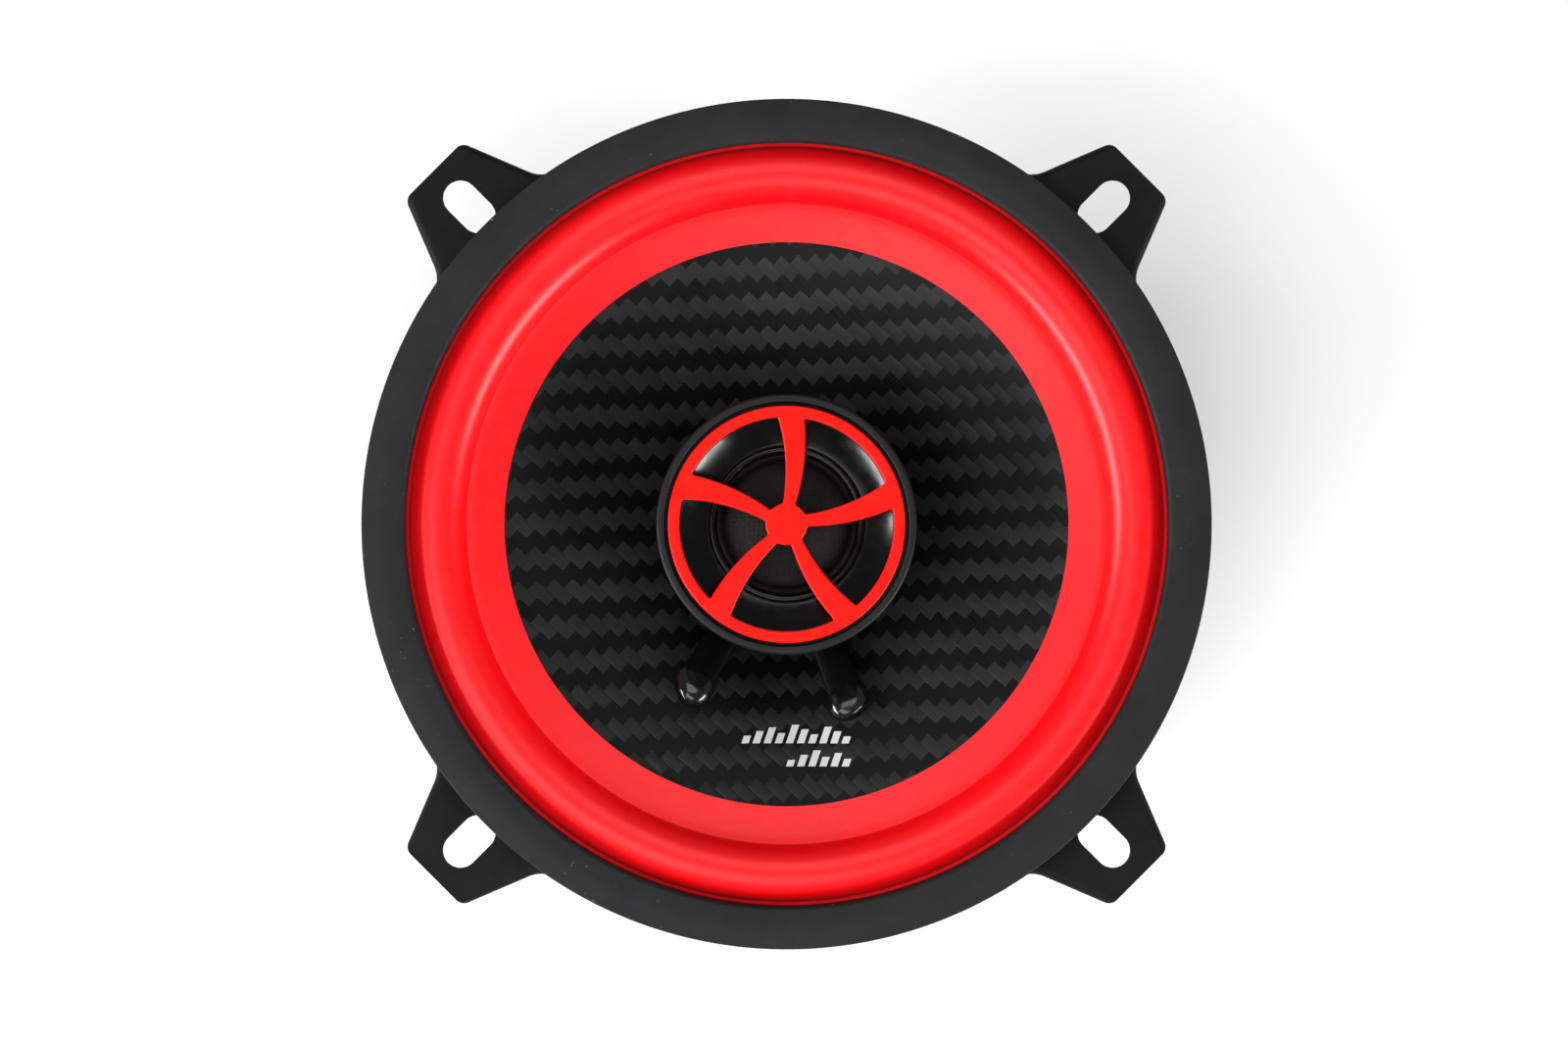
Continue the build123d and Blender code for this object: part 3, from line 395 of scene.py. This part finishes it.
LOOKS = {
    "painted_steel": paint_look(),
    "gasket_rubber": gasket_look(),
    "surround_rubber": surround_look(),
    # the cone's bright colour is the warp's painted sheen, the dark one the weft's own colour
    "cone_weave": weave_look("cone_weave_look", (0.0215, 0.0215, 0.0222), (0.0036, 0.0036, 0.0038), 0.42),
    "eyelet_brass": metal_look("eyelet_brass_look", (0.7, 0.5, 0.22), (0.5, 0.34, 0.14), 0.3, lined=False),
    "copper_wire": wound_look("copper_wire_look", (0.72, 0.3, 0.14), 0.22),
    "former_film": plastic_look("former_film_look", (0.3, 0.13, 0.03), (0.22, 0.1, 0.03), 0.3).material,
    "spider_cloth": cloth_look("spider_cloth_look", (0.66, 0.42, 0.13), (0.36, 0.2, 0.05), 0.35,
                               Sheen_Weight=0.3, Sheen_Roughness=0.5),
    "zinc_steel": metal_look("zinc_steel_look", (0.62, 0.62, 0.58), (0.5, 0.5, 0.49), 0.3),
    "ferrite": ferrite_look(),
    "nickel_magnet": metal_look("nickel_magnet_look", (0.66, 0.64, 0.6), (0.56, 0.55, 0.52), 0.2),
    "pod_plastic": plastic_look("pod_plastic_look", (0.006, 0.0055, 0.006), (0.009, 0.0085, 0.009), 0.45,
                                Specular_IOR_Level=0.25).material,
    "face_plastic": plastic_look("face_plastic_look", (0.0006, 0.0006, 0.0007), (0.0009, 0.0009, 0.001),
                                 0.19, 1.2, 0.0004, Specular_IOR_Level=0.3).material,
    "guard_plastic": plastic_look("guard_plastic_look", (0.98, 0.004, 0.0004), (0.93, 0.006, 0.001), 0.34,
                                  0.5, 0.006, Specular_IOR_Level=0.2).material,
    "post_plastic": plastic_look("post_plastic_look", (0.016, 0.016, 0.016), (0.024, 0.024, 0.024),
                                 0.45).material,
    "dome_film": cloth_look("dome_film_look", (0.0065, 0.005, 0.006), (0.0025, 0.002, 0.0025), 0.14, 0.55,
                            Specular_IOR_Level=0.2),
    "capacitor_sleeve": plastic_look("capacitor_sleeve_look", (0.01, 0.03, 0.13), (0.014, 0.04, 0.17),
                                     0.25).material,
    "tinned_wire": metal_look("tinned_wire_look", (0.74, 0.73, 0.7), (0.6, 0.59, 0.56), 0.28, lined=False),
    "lead_sleeve": plastic_look("lead_sleeve_look", (0.001, 0.001, 0.001), (0.002, 0.002, 0.002), 0.45,
                                Specular_IOR_Level=0.12).material,
    "glue": plastic_look("glue_look", (0.003, 0.003, 0.0034), (0.006, 0.006, 0.0065), 0.16, 1.6, 0.16,
                         Coat_Weight=0.3, Coat_Roughness=0.05).material,
    "board_laminate": cloth_look("board_laminate_look", (0.2, 0.09, 0.03), (0.13, 0.055, 0.018), 0.3, 0.4),
    "tinsel_braid": cloth_look("tinsel_braid_look", (0.72, 0.4, 0.2), (0.4, 0.2, 0.09), 0.16, 0.45),
}
PRINT_LOOK = plastic_look("print_ink_look", (0.8, 0.8, 0.8), (0.68, 0.68, 0.69), 0.5, 0.25, 0.02).material

for row in frame["record"]["subparts"]:
    mesh = frame["nodes"][row["node"]].data
    mesh.materials.clear()
    mesh.materials.append(LOOKS[row["material_slot"]])

# ---------------------------------------------------------------- mesh helpers

ROUND_STEPS = 360
SHARP_ANGLE = 35.0  # degrees between faces from which their edge is drawn sharp
FILLET_LIMIT = 0.48  # the part of a side that one fillet may use


def add_mesh(name, points, faces, look, smooth_angle=SHARP_ANGLE):
    """A shaded mesh object from points in millimetres."""
    mesh = bpy.data.meshes.new(name)
    mesh.from_pydata([Vector(point) * MM for point in points], [], faces)
    mesh.update()
    mesh.shade_smooth()
    mesh.set_sharp_from_angle(angle=radians(smooth_angle))
    mesh.materials.append(look)
    piece = bpy.data.objects.new(name, mesh)
    bpy.context.scene.collection.objects.link(piece)
    return piece


def rounded(corners, steps=6):
    """A closed outline from (radius, height, fillet) corners, with each fillet as a short arc."""
    outline = []
    count = len(corners)
    for index, (r, z, fillet) in enumerate(corners):
        here = Vector((r, z))
        before = Vector(corners[index - 1][:2]) - here
        after = Vector(corners[(index + 1) % count][:2]) - here
        if fillet <= 0:
            outline.append((r, z))
            continue
        half = before.angle(after) / 2
        longest = min(FILLET_LIMIT * before.length, FILLET_LIMIT * after.length)
        reach = min(fillet / (sin(half) / cos(half)), longest)
        size = reach * sin(half) / cos(half)
        start, end = here + before.normalized() * reach, here + after.normalized() * reach
        centre = here + (before.normalized() + after.normalized()).normalized() * (size / sin(half))
        first, last = start - centre, end - centre
        swing = first.angle_signed(last, 0.0)
        for step in range(steps + 1):
            angle = -swing * step / steps
            turned = Vector((first.x * cos(angle) - first.y * sin(angle),
                             first.x * sin(angle) + first.y * cos(angle)))
            outline.append(tuple(centre + turned))
    return outline


def lathe(name, outline, look, smooth_angle=SHARP_ANGLE):
    """Turns a closed outline of (radius, height) points round the axis."""
    points, faces, count = [], [], len(outline)
    for step in range(ROUND_STEPS):
        angle = 2 * pi * step / ROUND_STEPS
        points += [(r * cos(angle), r * sin(angle), z) for r, z in outline]
        here, there = step * count, (step + 1) % ROUND_STEPS * count
        for index in range(count):
            after = (index + 1) % count
            faces.append((here + index, there + index, there + after, here + after))
    return add_mesh(name, points, faces, look, smooth_angle)


def thickened(middle, thickness):
    """The closed outline of a sheet whose middle line is given."""
    front, back = [], []
    for index, point in enumerate(middle):
        before, after = Vector(middle[max(index - 1, 0)]), Vector(middle[min(index + 1, len(middle) - 1)])
        along = (after - before).normalized()
        side = Vector((-along.y, along.x)) * thickness / 2
        front.append(tuple(Vector(point) + side))
        back.append(tuple(Vector(point) - side))
    return front + back[::-1]


def circle_through(a, b, c):
    """Centre and radius of the circle through three points."""
    (ax, ay), (bx, by), (cx, cy) = a, b, c
    d = 2 * (ax * (by - cy) + bx * (cy - ay) + cx * (ay - by))
    sa, sb, sc = ax * ax + ay * ay, bx * bx + by * by, cx * cx + cy * cy
    x = (sa * (by - cy) + sb * (cy - ay) + sc * (ay - by)) / d
    y = (sa * (cx - bx) + sb * (ax - cx) + sc * (bx - ax)) / d
    return (x, y), hypot(ax - x, ay - y)


def spread(first, last, count):
    """Evenly spaced numbers, both ends included."""
    return [first + (last - first) * step / (count - 1) for step in range(count)]


def eased(share):
    """A share kept between 0 and 1, with a soft start and a soft end."""
    share = min(1.0, max(0.0, share))
    return share * share * (3 - 2 * share)


def arc_through(a, b, c, steps):
    """Points of the arc from a to c through b, both ends included."""
    (x, y), radius = circle_through(a, b, c)
    start, middle, end = (atan2(py - y, px - x) for px, py in (a, b, c))
    ahead = (end - start) % (2 * pi)
    if (middle - start) % (2 * pi) > ahead:
        ahead -= 2 * pi
    angles = spread(start, start + ahead, steps + 1)
    return [(x + radius * cos(angle), y + radius * sin(angle)) for angle in angles]


def circle(radius, steps):
    return [tuple(polar(radius, 360 * step / steps, 0).xy) for step in range(steps)]


def rim_arc(radius, start, end):
    """Points of a circle about the axis between two points' directions, the shorter way round."""
    first, last = degrees(atan2(start[1], start[0])), degrees(atan2(end[1], end[0]))
    swing = (last - first + 180) % 360 - 180
    return [tuple(polar(radius, first + share * swing, 0).xy) for share in spread(0, 1, 40)]


def softened(outline, spacing, passes):
    """A closed outline redrawn at an even spacing with its corners rounded off."""
    loop = [Vector(point) for point in outline] + [Vector(outline[0])]
    evenly, spare = [], 0.0
    for a, b in zip(loop, loop[1:]):
        length = (b - a).length
        while spare < length:
            evenly.append(a + (b - a) * spare / length)
            spare += spacing
        spare -= length
    for _ in range(passes):
        evenly = [(evenly[index - 1] + 2 * point + evenly[(index + 1) % len(evenly)]) / 4
                  for index, point in enumerate(evenly)]
    return [tuple(point) for point in evenly]


def plate(name, outlines, bottom, top, edge, look):
    """A flat plate with holes and rounded edges: the first outline is its outside."""
    curve = bpy.data.curves.new(name, "CURVE")
    curve.dimensions, curve.fill_mode = "2D", "BOTH"
    curve.extrude = (top - bottom) / 2 - edge
    curve.bevel_depth, curve.bevel_resolution, curve.offset = edge, 3, -edge
    for outline in outlines:
        spline = curve.splines.new("POLY")
        spline.points.add(len(outline) - 1)
        for point, (x, y) in zip(spline.points, outline):
            point.co = (x, y, 0, 1)
        spline.use_cyclic_u = True
    holder = bpy.data.objects.new(name + "_outline", curve)
    mesh = bpy.data.meshes.new_from_object(holder)
    bpy.data.objects.remove(holder)
    mesh.transform(Matrix.Scale(MM, 4) @ Matrix.Translation((0, 0, (bottom + top) / 2)))
    mesh.name = name
    mesh.shade_smooth()
    mesh.set_sharp_from_angle(angle=radians(SHARP_ANGLE))
    mesh.materials.clear()
    mesh.materials.append(look)
    piece = bpy.data.objects.new(name, mesh)
    bpy.context.scene.collection.objects.link(piece)
    return piece


def nurbs_line(stops):
    """Points of the smooth line that has a lead's stops as its control points."""
    curve = bpy.data.curves.new("route", "CURVE")
    curve.dimensions = "3D"
    spline = curve.splines.new("NURBS")
    spline.points.add(len(stops) - 1)
    for point, stop in zip(spline.points, stops):
        point.co = (*stop, 1)
    spline.order_u, spline.use_endpoint_u, spline.resolution_u = 3, True, 24
    holder = bpy.data.objects.new("route", curve)
    mesh = bpy.data.meshes.new_from_object(holder)
    bpy.data.objects.remove(holder)
    return [vertex.co.copy() for vertex in mesh.vertices]


def frames_along(path, side):
    """For each point of a path: the point, a sideways direction carried along it, and the third."""
    frames = []
    for index, point in enumerate(path):
        along = (path[min(index + 1, len(path) - 1)] - path[max(index - 1, 0)]).normalized()
        side = (side - along * side.dot(along)).normalized()
        frames.append((point, side, side.cross(along)))
    return frames


def tube_mesh(frames, size_at, around):
    """Points and faces of a closed tube whose half width and half height vary along it."""
    points, faces, last = [], [], len(frames) - 1
    for index, (centre, side, lift) in enumerate(frames):
        width, height = size_at(index / last)
        if index in (0, last):
            width, height = 0.5 * width, 0.5 * height
        for step in range(around):
            angle = 2 * pi * step / around
            points.append(centre + side * width * cos(angle) + lift * height * sin(angle))
    for index in range(last):
        for step in range(around):
            here, there, after = index * around, (index + 1) * around, (step + 1) % around
            faces.append((here + step, here + after, there + after, there + step))
    faces.append(tuple(range(around)))
    faces.append(tuple(last * around + step for step in reversed(range(around))))
    return points, faces


def tube(name, path, size_at, side, look, around=32):
    return add_mesh(name, *tube_mesh(frames_along(path, side), size_at, around), look, 60)


def braid(name, path, offset, strand_r, lay, look, strands=3):
    """Strands twisted round a path, one turn every lay millimetres."""
    points, faces = [], []
    frames = frames_along(path, Vector((0, 0, 1)).cross(path[1] - path[0]))
    travelled = [0.0]
    for a, b in zip(path, path[1:]):
        travelled.append(travelled[-1] + (b - a).length)
    for strand in range(strands):
        twisted = []
        for (centre, side, lift), distance in zip(frames, travelled):
            angle = 2 * pi * (distance / lay + strand / strands)
            twisted.append(centre + (side * cos(angle) + lift * sin(angle)) * offset)
        more_points, more_faces = tube_mesh(
            frames_along(twisted, frames[0][1]), lambda share: (strand_r, strand_r), 12)
        faces += [tuple(corner + len(points) for corner in face) for face in more_faces]
        points += more_points
    return add_mesh(name, points, faces, look, 60)


def show(piece, body, slot, *nodes):
    """Puts a finished piece on its body, in place of the CAD nodes that it stands for."""
    if body:
        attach(piece, body)
    if nodes:
        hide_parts(*nodes)
    return piece


def weigh_by_radius(piece, still_r, moving_r):
    """Makes a blended piece stand still at one radius and follow the moving body fully at another."""
    weights = piece.data.attributes["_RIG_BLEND"].data
    for vertex, weight in zip(piece.data.vertices, weights):
        weight.value = eased((hypot(vertex.co.x, vertex.co.y) / MM - still_r) / (moving_r - still_r))


def blend_by_radius(piece, inner_body, outer_r, inner_r):
    """Lets a ring flex: its outside stays with the frame, its inside follows a moving body."""
    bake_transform(piece, "frame", inner_body, (outer_r * MM, 0, 0), (inner_r * MM, 0, 0))
    weigh_by_radius(piece, outer_r, inner_r)


def polar(radius, azimuth, height):
    return Vector((radius * cos(radians(azimuth)), radius * sin(radians(azimuth)), height))


# ---------------------------------------------------------------- front: gasket and surround

show(lathe("gasket", rounded([
    (60.2, 2.8, 0.1), (64.2, 2.8, 0), (64.2, 2.2, 0), (67.0, 2.2, 0.15), (67.0, 6.2, 0.3),
    (63.8, 6.6, 8), (60.2, 6.35, 0.9)]), LOOKS["gasket_rubber"]),
    "frame", "gasket_rubber", "front_gasket")

ROLL_START, ROLL_END = 50.9, 59.5
surround_middle = (
    [(44.75, 0.53), (46.5, 0.91), (49.0, 1.44), (49.8, 1.6), (50.2, 1.62)]
    + arc_through((ROLL_START, 1.62), (55.2, 5.2), (ROLL_END, 2.5), 40)
    + [(59.9, 2.5), (62.0, 2.5), (64.0, 2.5)])
surround = lathe("surround_ring", thickened(surround_middle, 0.6), LOOKS["surround_rubber"], smooth_angle=50)
blend_by_radius(surround, "cone_assembly", ROLL_END, ROLL_START)
show(surround, None, "surround_rubber", "surround")

# ---------------------------------------------------------------- cone: print, glue and leads

CONE_T = 0.8
CONE_CENTRE, CONE_ARC_R = circle_through((11.5, -18.0), (28.9, -7.7), (44.7, -0.2))
LEAD_R, LEAD_EXIT_R = 29.9, 15.2
LEAD_AZIMUTHS = {"left": 195.0, "right": 244.2}
POD_FLOOR = -7.5


def cone_height(radius, lift=0.0):
    """Height of the cone's section at a radius, lift millimetres in front of its middle surface."""
    return CONE_CENTRE[1] + sqrt((CONE_ARC_R + lift) ** 2 - (radius - CONE_CENTRE[0]) ** 2)


def on_cone(x, y, lift):
    """The point of the cone over a place in the picture's own right and up millimetres."""
    flat = RIGHT * x + UP * y
    return (flat.x, flat.y, cone_height(hypot(x, y), CONE_T / 2 + lift))


def cone_axes(azimuth):
    """Origin, outward slope, sideways and normal directions of the cone's middle at a lead's hole."""
    normal = (LEAD_R - CONE_CENTRE[0]) / CONE_ARC_R, (cone_height(LEAD_R) - CONE_CENTRE[1]) / CONE_ARC_R
    out = polar(1, azimuth, 0)
    up_normal = out * normal[0] + Vector((0, 0, normal[1]))
    slope = out * normal[1] - Vector((0, 0, normal[0]))
    return polar(LEAD_R, azimuth, cone_height(LEAD_R)), slope, polar(1, azimuth + 90, 0), up_normal


PRINT_ROWS = (  # each row's foot and left end, in the picture's up and right, and its bars' heights
    (-34.9, -7.2, (1.2, 1.9, 2.5, 1.6, 2.9, 2.2, 1.4, 2.6, 1.9, 1.1)),
    (-38.5, -0.1, (1.0, 1.8, 2.5, 1.5, 2.1, 1.2)))
INK_LIFT = 0.03


def make_print():
    """Two rows of plain slanted level bars, printed in white."""
    points, faces = [], []
    slant, bar_width, gap, across, levels = 0.35, 1.15, 0.62, 4, 4
    for foot, first, heights in PRINT_ROWS:
        for index, height in enumerate(heights):
            left = first + index * (bar_width + gap)
            base = len(points)
            for level in range(levels + 1):
                up = height * level / levels
                points += [on_cone(left + slant * up + bar_width * part / across, foot + up, INK_LIFT)
                           for part in range(across + 1)]
            for level in range(levels):
                for part in range(across):
                    corner = base + level * (across + 1) + part
                    faces.append((corner, corner + 1, corner + across + 2, corner + across + 1))
    return add_mesh("cone_print", points, faces, PRINT_LOOK)


cone_print = make_print()
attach(cone_print, "cone_assembly")


def make_glue():
    """Drops of glue, each a lumpy dome that runs up its lead on the pod's side."""
    points, faces, rings, around = [], [], 14, 40
    for azimuth, lump in ((LEAD_AZIMUTHS["left"], 0.4), (LEAD_AZIMUTHS["right"], 2.1)):
        origin, slope, side, normal = cone_axes(azimuth)
        base = len(points)
        for ring in range(rings + 1):
            lean = pi / 2 * ring / rings
            for step in range(around):
                angle = 2 * pi * step / around
                wobble = 1 + 0.06 * sin(2 * angle + lump) + 0.05 * sin(3 * angle + 2 * lump)
                reach = 3.55 * wobble * sin(lean) ** 0.8 * (1 + 0.15 * max(0.0, -cos(angle)))
                rise = 0.3 + 2.5 * cos(lean) ** 0.8 * (1 + 0.1 * sin(angle + lump) * sin(lean))
                points.append(origin + slope * reach * cos(angle) + side * reach * sin(angle)
                              + normal * rise)
        for ring in range(rings):
            for step in range(around):
                after = (step + 1) % around
                here, there = base + ring * around, base + (ring + 1) * around
                faces.append((here + step, there + step, there + after, here + after))
    return add_mesh("glue_drops", points, faces, LOOKS["glue"], 180)


show(make_glue(), "cone_assembly", "glue", "glue_domes")

SLEEVE_R = 1.2
LEAD_STILL_R, LEAD_MOVING_R = LEAD_EXIT_R + 0.4, 22.0  # near enough to the pod to clear the moving cone


def sleeve_size(share):
    """Half width and half height of a lead, widened outside the pod by glue and by the pod's painted shadow.
    """
    # the flat black widening is partly glue and partly a dark band put where the pod's shadow falls
    glue_and_shadow_spread = eased((share - 0.12) / 0.3)
    return SLEEVE_R + 1.5 * glue_and_shadow_spread, SLEEVE_R - 0.25 * glue_and_shadow_spread


for hand, azimuth in LEAD_AZIMUTHS.items():
    origin, slope, side, normal = cone_axes(azimuth)
    start, end = polar(LEAD_EXIT_R, azimuth, POD_FLOOR + 0.6), origin + normal * 1.7 - slope * 0.8
    path = nurbs_line([
        start,
        polar(LEAD_EXIT_R, azimuth, POD_FLOOR - 1.6),
        polar(LEAD_EXIT_R + 2.6, azimuth, POD_FLOOR - 3.2),
        origin + normal * 1.9 - slope * 7.0,
        origin + normal * 1.7 - slope * 3.5,
        end])
    lead = tube("lead_sleeve_" + hand, path, sleeve_size, side, LOOKS["lead_sleeve"])
    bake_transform(lead, "frame", "cone_assembly", start * MM, end * MM)
    weigh_by_radius(lead, LEAD_STILL_R, LEAD_MOVING_R)
    show(lead, None, "lead_sleeve", "tweeter_lead_" + hand)

# ---------------------------------------------------------------- tweeter: pod, horn, guard and dome

show(lathe("pod", rounded([
    (2.2, -7.5, 0), (16.2, -7.5, 1.6), (19.6, -3.4, 1.6), (20.5, 2.0, 1.6), (20.5, 8.4, 0.55),
    (19.25, 8.4, 0.2), (19.25, 6.1, 0), (18.3, 6.1, 0.2), (18.3, -2.6, 0), (15.6, -6.3, 0.5),
    (13.5, -6.3, 0), (13.5, 3.0, 0.1), (12.7, 3.0, 0.1), (12.7, -2.6, 0), (10.4, -2.6, 0),
    (10.4, -6.3, 0), (2.2, -6.3, 0)]), LOOKS["pod_plastic"]),
    "frame", "pod_plastic", "tweeter_housing")

horn = [(12.1, 5.25), (12.35, 4.97), *arc_through((12.6, 4.95), (14.8, 5.97), (16.85, 7.3), 30)]
show(lathe("horn", [(11.3, 4.0), (11.3, 5.1), (11.5, 5.3), (11.9, 5.34), *horn, (19.15, 7.3), (19.15, 6.1),
                    (17.0, 6.1), (13.3, 4.0)], LOOKS["face_plastic"], smooth_angle=40),
     "frame", "face_plastic", "tweeter_faceplate")

GUARD_TOP, GUARD_T, GUARD_EDGE = 8.5, 1.15, 0.3
HUB_R, RING_INNER_R, RING_R = 3.3, 16.85, 18.65
BLADES = 5
FIRST_BLADE = 45  # degrees


def blade_edge(azimuth, stops):
    """One edge of a curved blade from hub to ring, an arc through three (radius, turn) points."""
    arc = arc_through(*(polar(r, azimuth + turn, 0).xy for r, turn in stops), 60)
    return [point for point in arc if HUB_R < hypot(*point) < RING_INNER_R]


def guard_openings():
    """The five openings between the curved blades, as outlines with softened corners."""
    openings = []
    for blade in range(BLADES):
        azimuth = FIRST_BLADE + 360 / BLADES * blade
        trailing = blade_edge(azimuth, ((2.0, 26), (10, 1), (17.4, 5)))
        leading = blade_edge(azimuth + 360 / BLADES, ((2.0, -26), (10, -16), (17.4, -9)))
        outline = trailing + rim_arc(RING_INNER_R, trailing[-1], leading[-1]) + leading[::-1]
        outline += rim_arc(HUB_R, leading[0], trailing[0])
        openings.append(softened(outline, 0.12, 10))
    return openings


guard = plate("fan_guard", [circle(RING_R, 240), *guard_openings()], GUARD_TOP - GUARD_T, GUARD_TOP,
              GUARD_EDGE, LOOKS["guard_plastic"])
show(guard, "frame", "guard_plastic", "tweeter_guard")

DOME_R, DOME_FOOT, DOME_RISE, SKIN_T = 10.1, 3.9, 3.0, 0.16
dome = [(DOME_R * sin(lean), DOME_FOOT + DOME_RISE * cos(lean)) for lean in spread(0.04, pi / 2, 26)]
roll = [(10.35, 3.95), (10.55, 4.22), (10.75, 4.3), (10.95, 4.22), (11.15, 3.95), (11.25, 3.9), (13.0, 3.9)]
skin = lathe("tweeter_skin", thickened([(0.001, 6.9), *dome, *roll], SKIN_T), LOOKS["dome_film"],
             smooth_angle=60)
blend_by_radius(skin, "tweeter_diaphragm", 11.2, 10.3)
show(skin, None, "dome_film", "tweeter_dome", "tweeter_suspension")

# ---------------------------------------------------------------- back: spider, magnet and tinsel leads

WAVES, WAVE_STEPS, WAVE_LENGTH = 4, 24, 4.4
spider_middle = [(13.25, -18.4), (13.25, -19.4), (13.45, -20.0), (14.0, -20.2), (15.6, -20.2)]
wave_r, wave_z = spider_middle[-1]
for step in range(1, WAVES * WAVE_STEPS + 1):
    reach = WAVE_LENGTH * step / WAVE_STEPS
    spider_middle.append((wave_r + reach, wave_z - sin(2 * pi * step / WAVE_STEPS)))
spider_middle += [(33.6, -20.4), (34.0, -20.7), (34.6, -20.75), (37.8, -20.75)]
spider_ring = lathe("spider_ring", thickened(spider_middle, 0.5), LOOKS["spider_cloth"], smooth_angle=60)
blend_by_radius(spider_ring, "cone_assembly", 34.0, 15.0)
show(spider_ring, None, "spider_cloth", "spider")

show(lathe("ferrite_ring", rounded([
    (17.0, -47.0, 0.4), (40.0, -47.0, 0.9), (40.0, -34.5, 0.9), (17.0, -34.5, 0.4)]), LOOKS["ferrite"]),
    "frame", "ferrite", "magnet")

TERMINAL_AZ, PAD_R, PAD_Z, TAB_OFFSET = 225.0, 48.5, -13.75, 12.0
PAD_NORMAL = polar(0.613, TERMINAL_AZ, -0.79)
spoke_out, spoke_side = polar(1, TERMINAL_AZ, 0), polar(1, TERMINAL_AZ + 90, 0)
for (hand, azimuth), turn in zip(LEAD_AZIMUTHS.items(), (-1, 1)):
    origin, _, _, normal = cone_axes(azimuth)
    eyelet_end, below = origin - normal * 2.0, origin - normal * 5.4
    lug = polar(PAD_R, TERMINAL_AZ, PAD_Z) + PAD_NORMAL * -2.8 + spoke_side * turn * TAB_OFFSET
    stops = [eyelet_end, below]
    for out, share, height in ((34.5, 0.35, -15.6), (40.2, 0.7, -15.2), (43.8, 0.9, -13.0)):
        sideways = below.dot(spoke_side) * (1 - share) + turn * TAB_OFFSET * share
        stops.append(spoke_out * out + spoke_side * sideways + Vector((0, 0, height)))
    lead = braid("tinsel_" + hand, nurbs_line([*stops, lug]), 0.3, 0.29, 2.4, LOOKS["tinsel_braid"])
    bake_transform(lead, "cone_assembly", "frame", eyelet_end * MM, lug * MM)
    show(lead, None, "tinsel_braid", "tinsel_lead_" + hand)
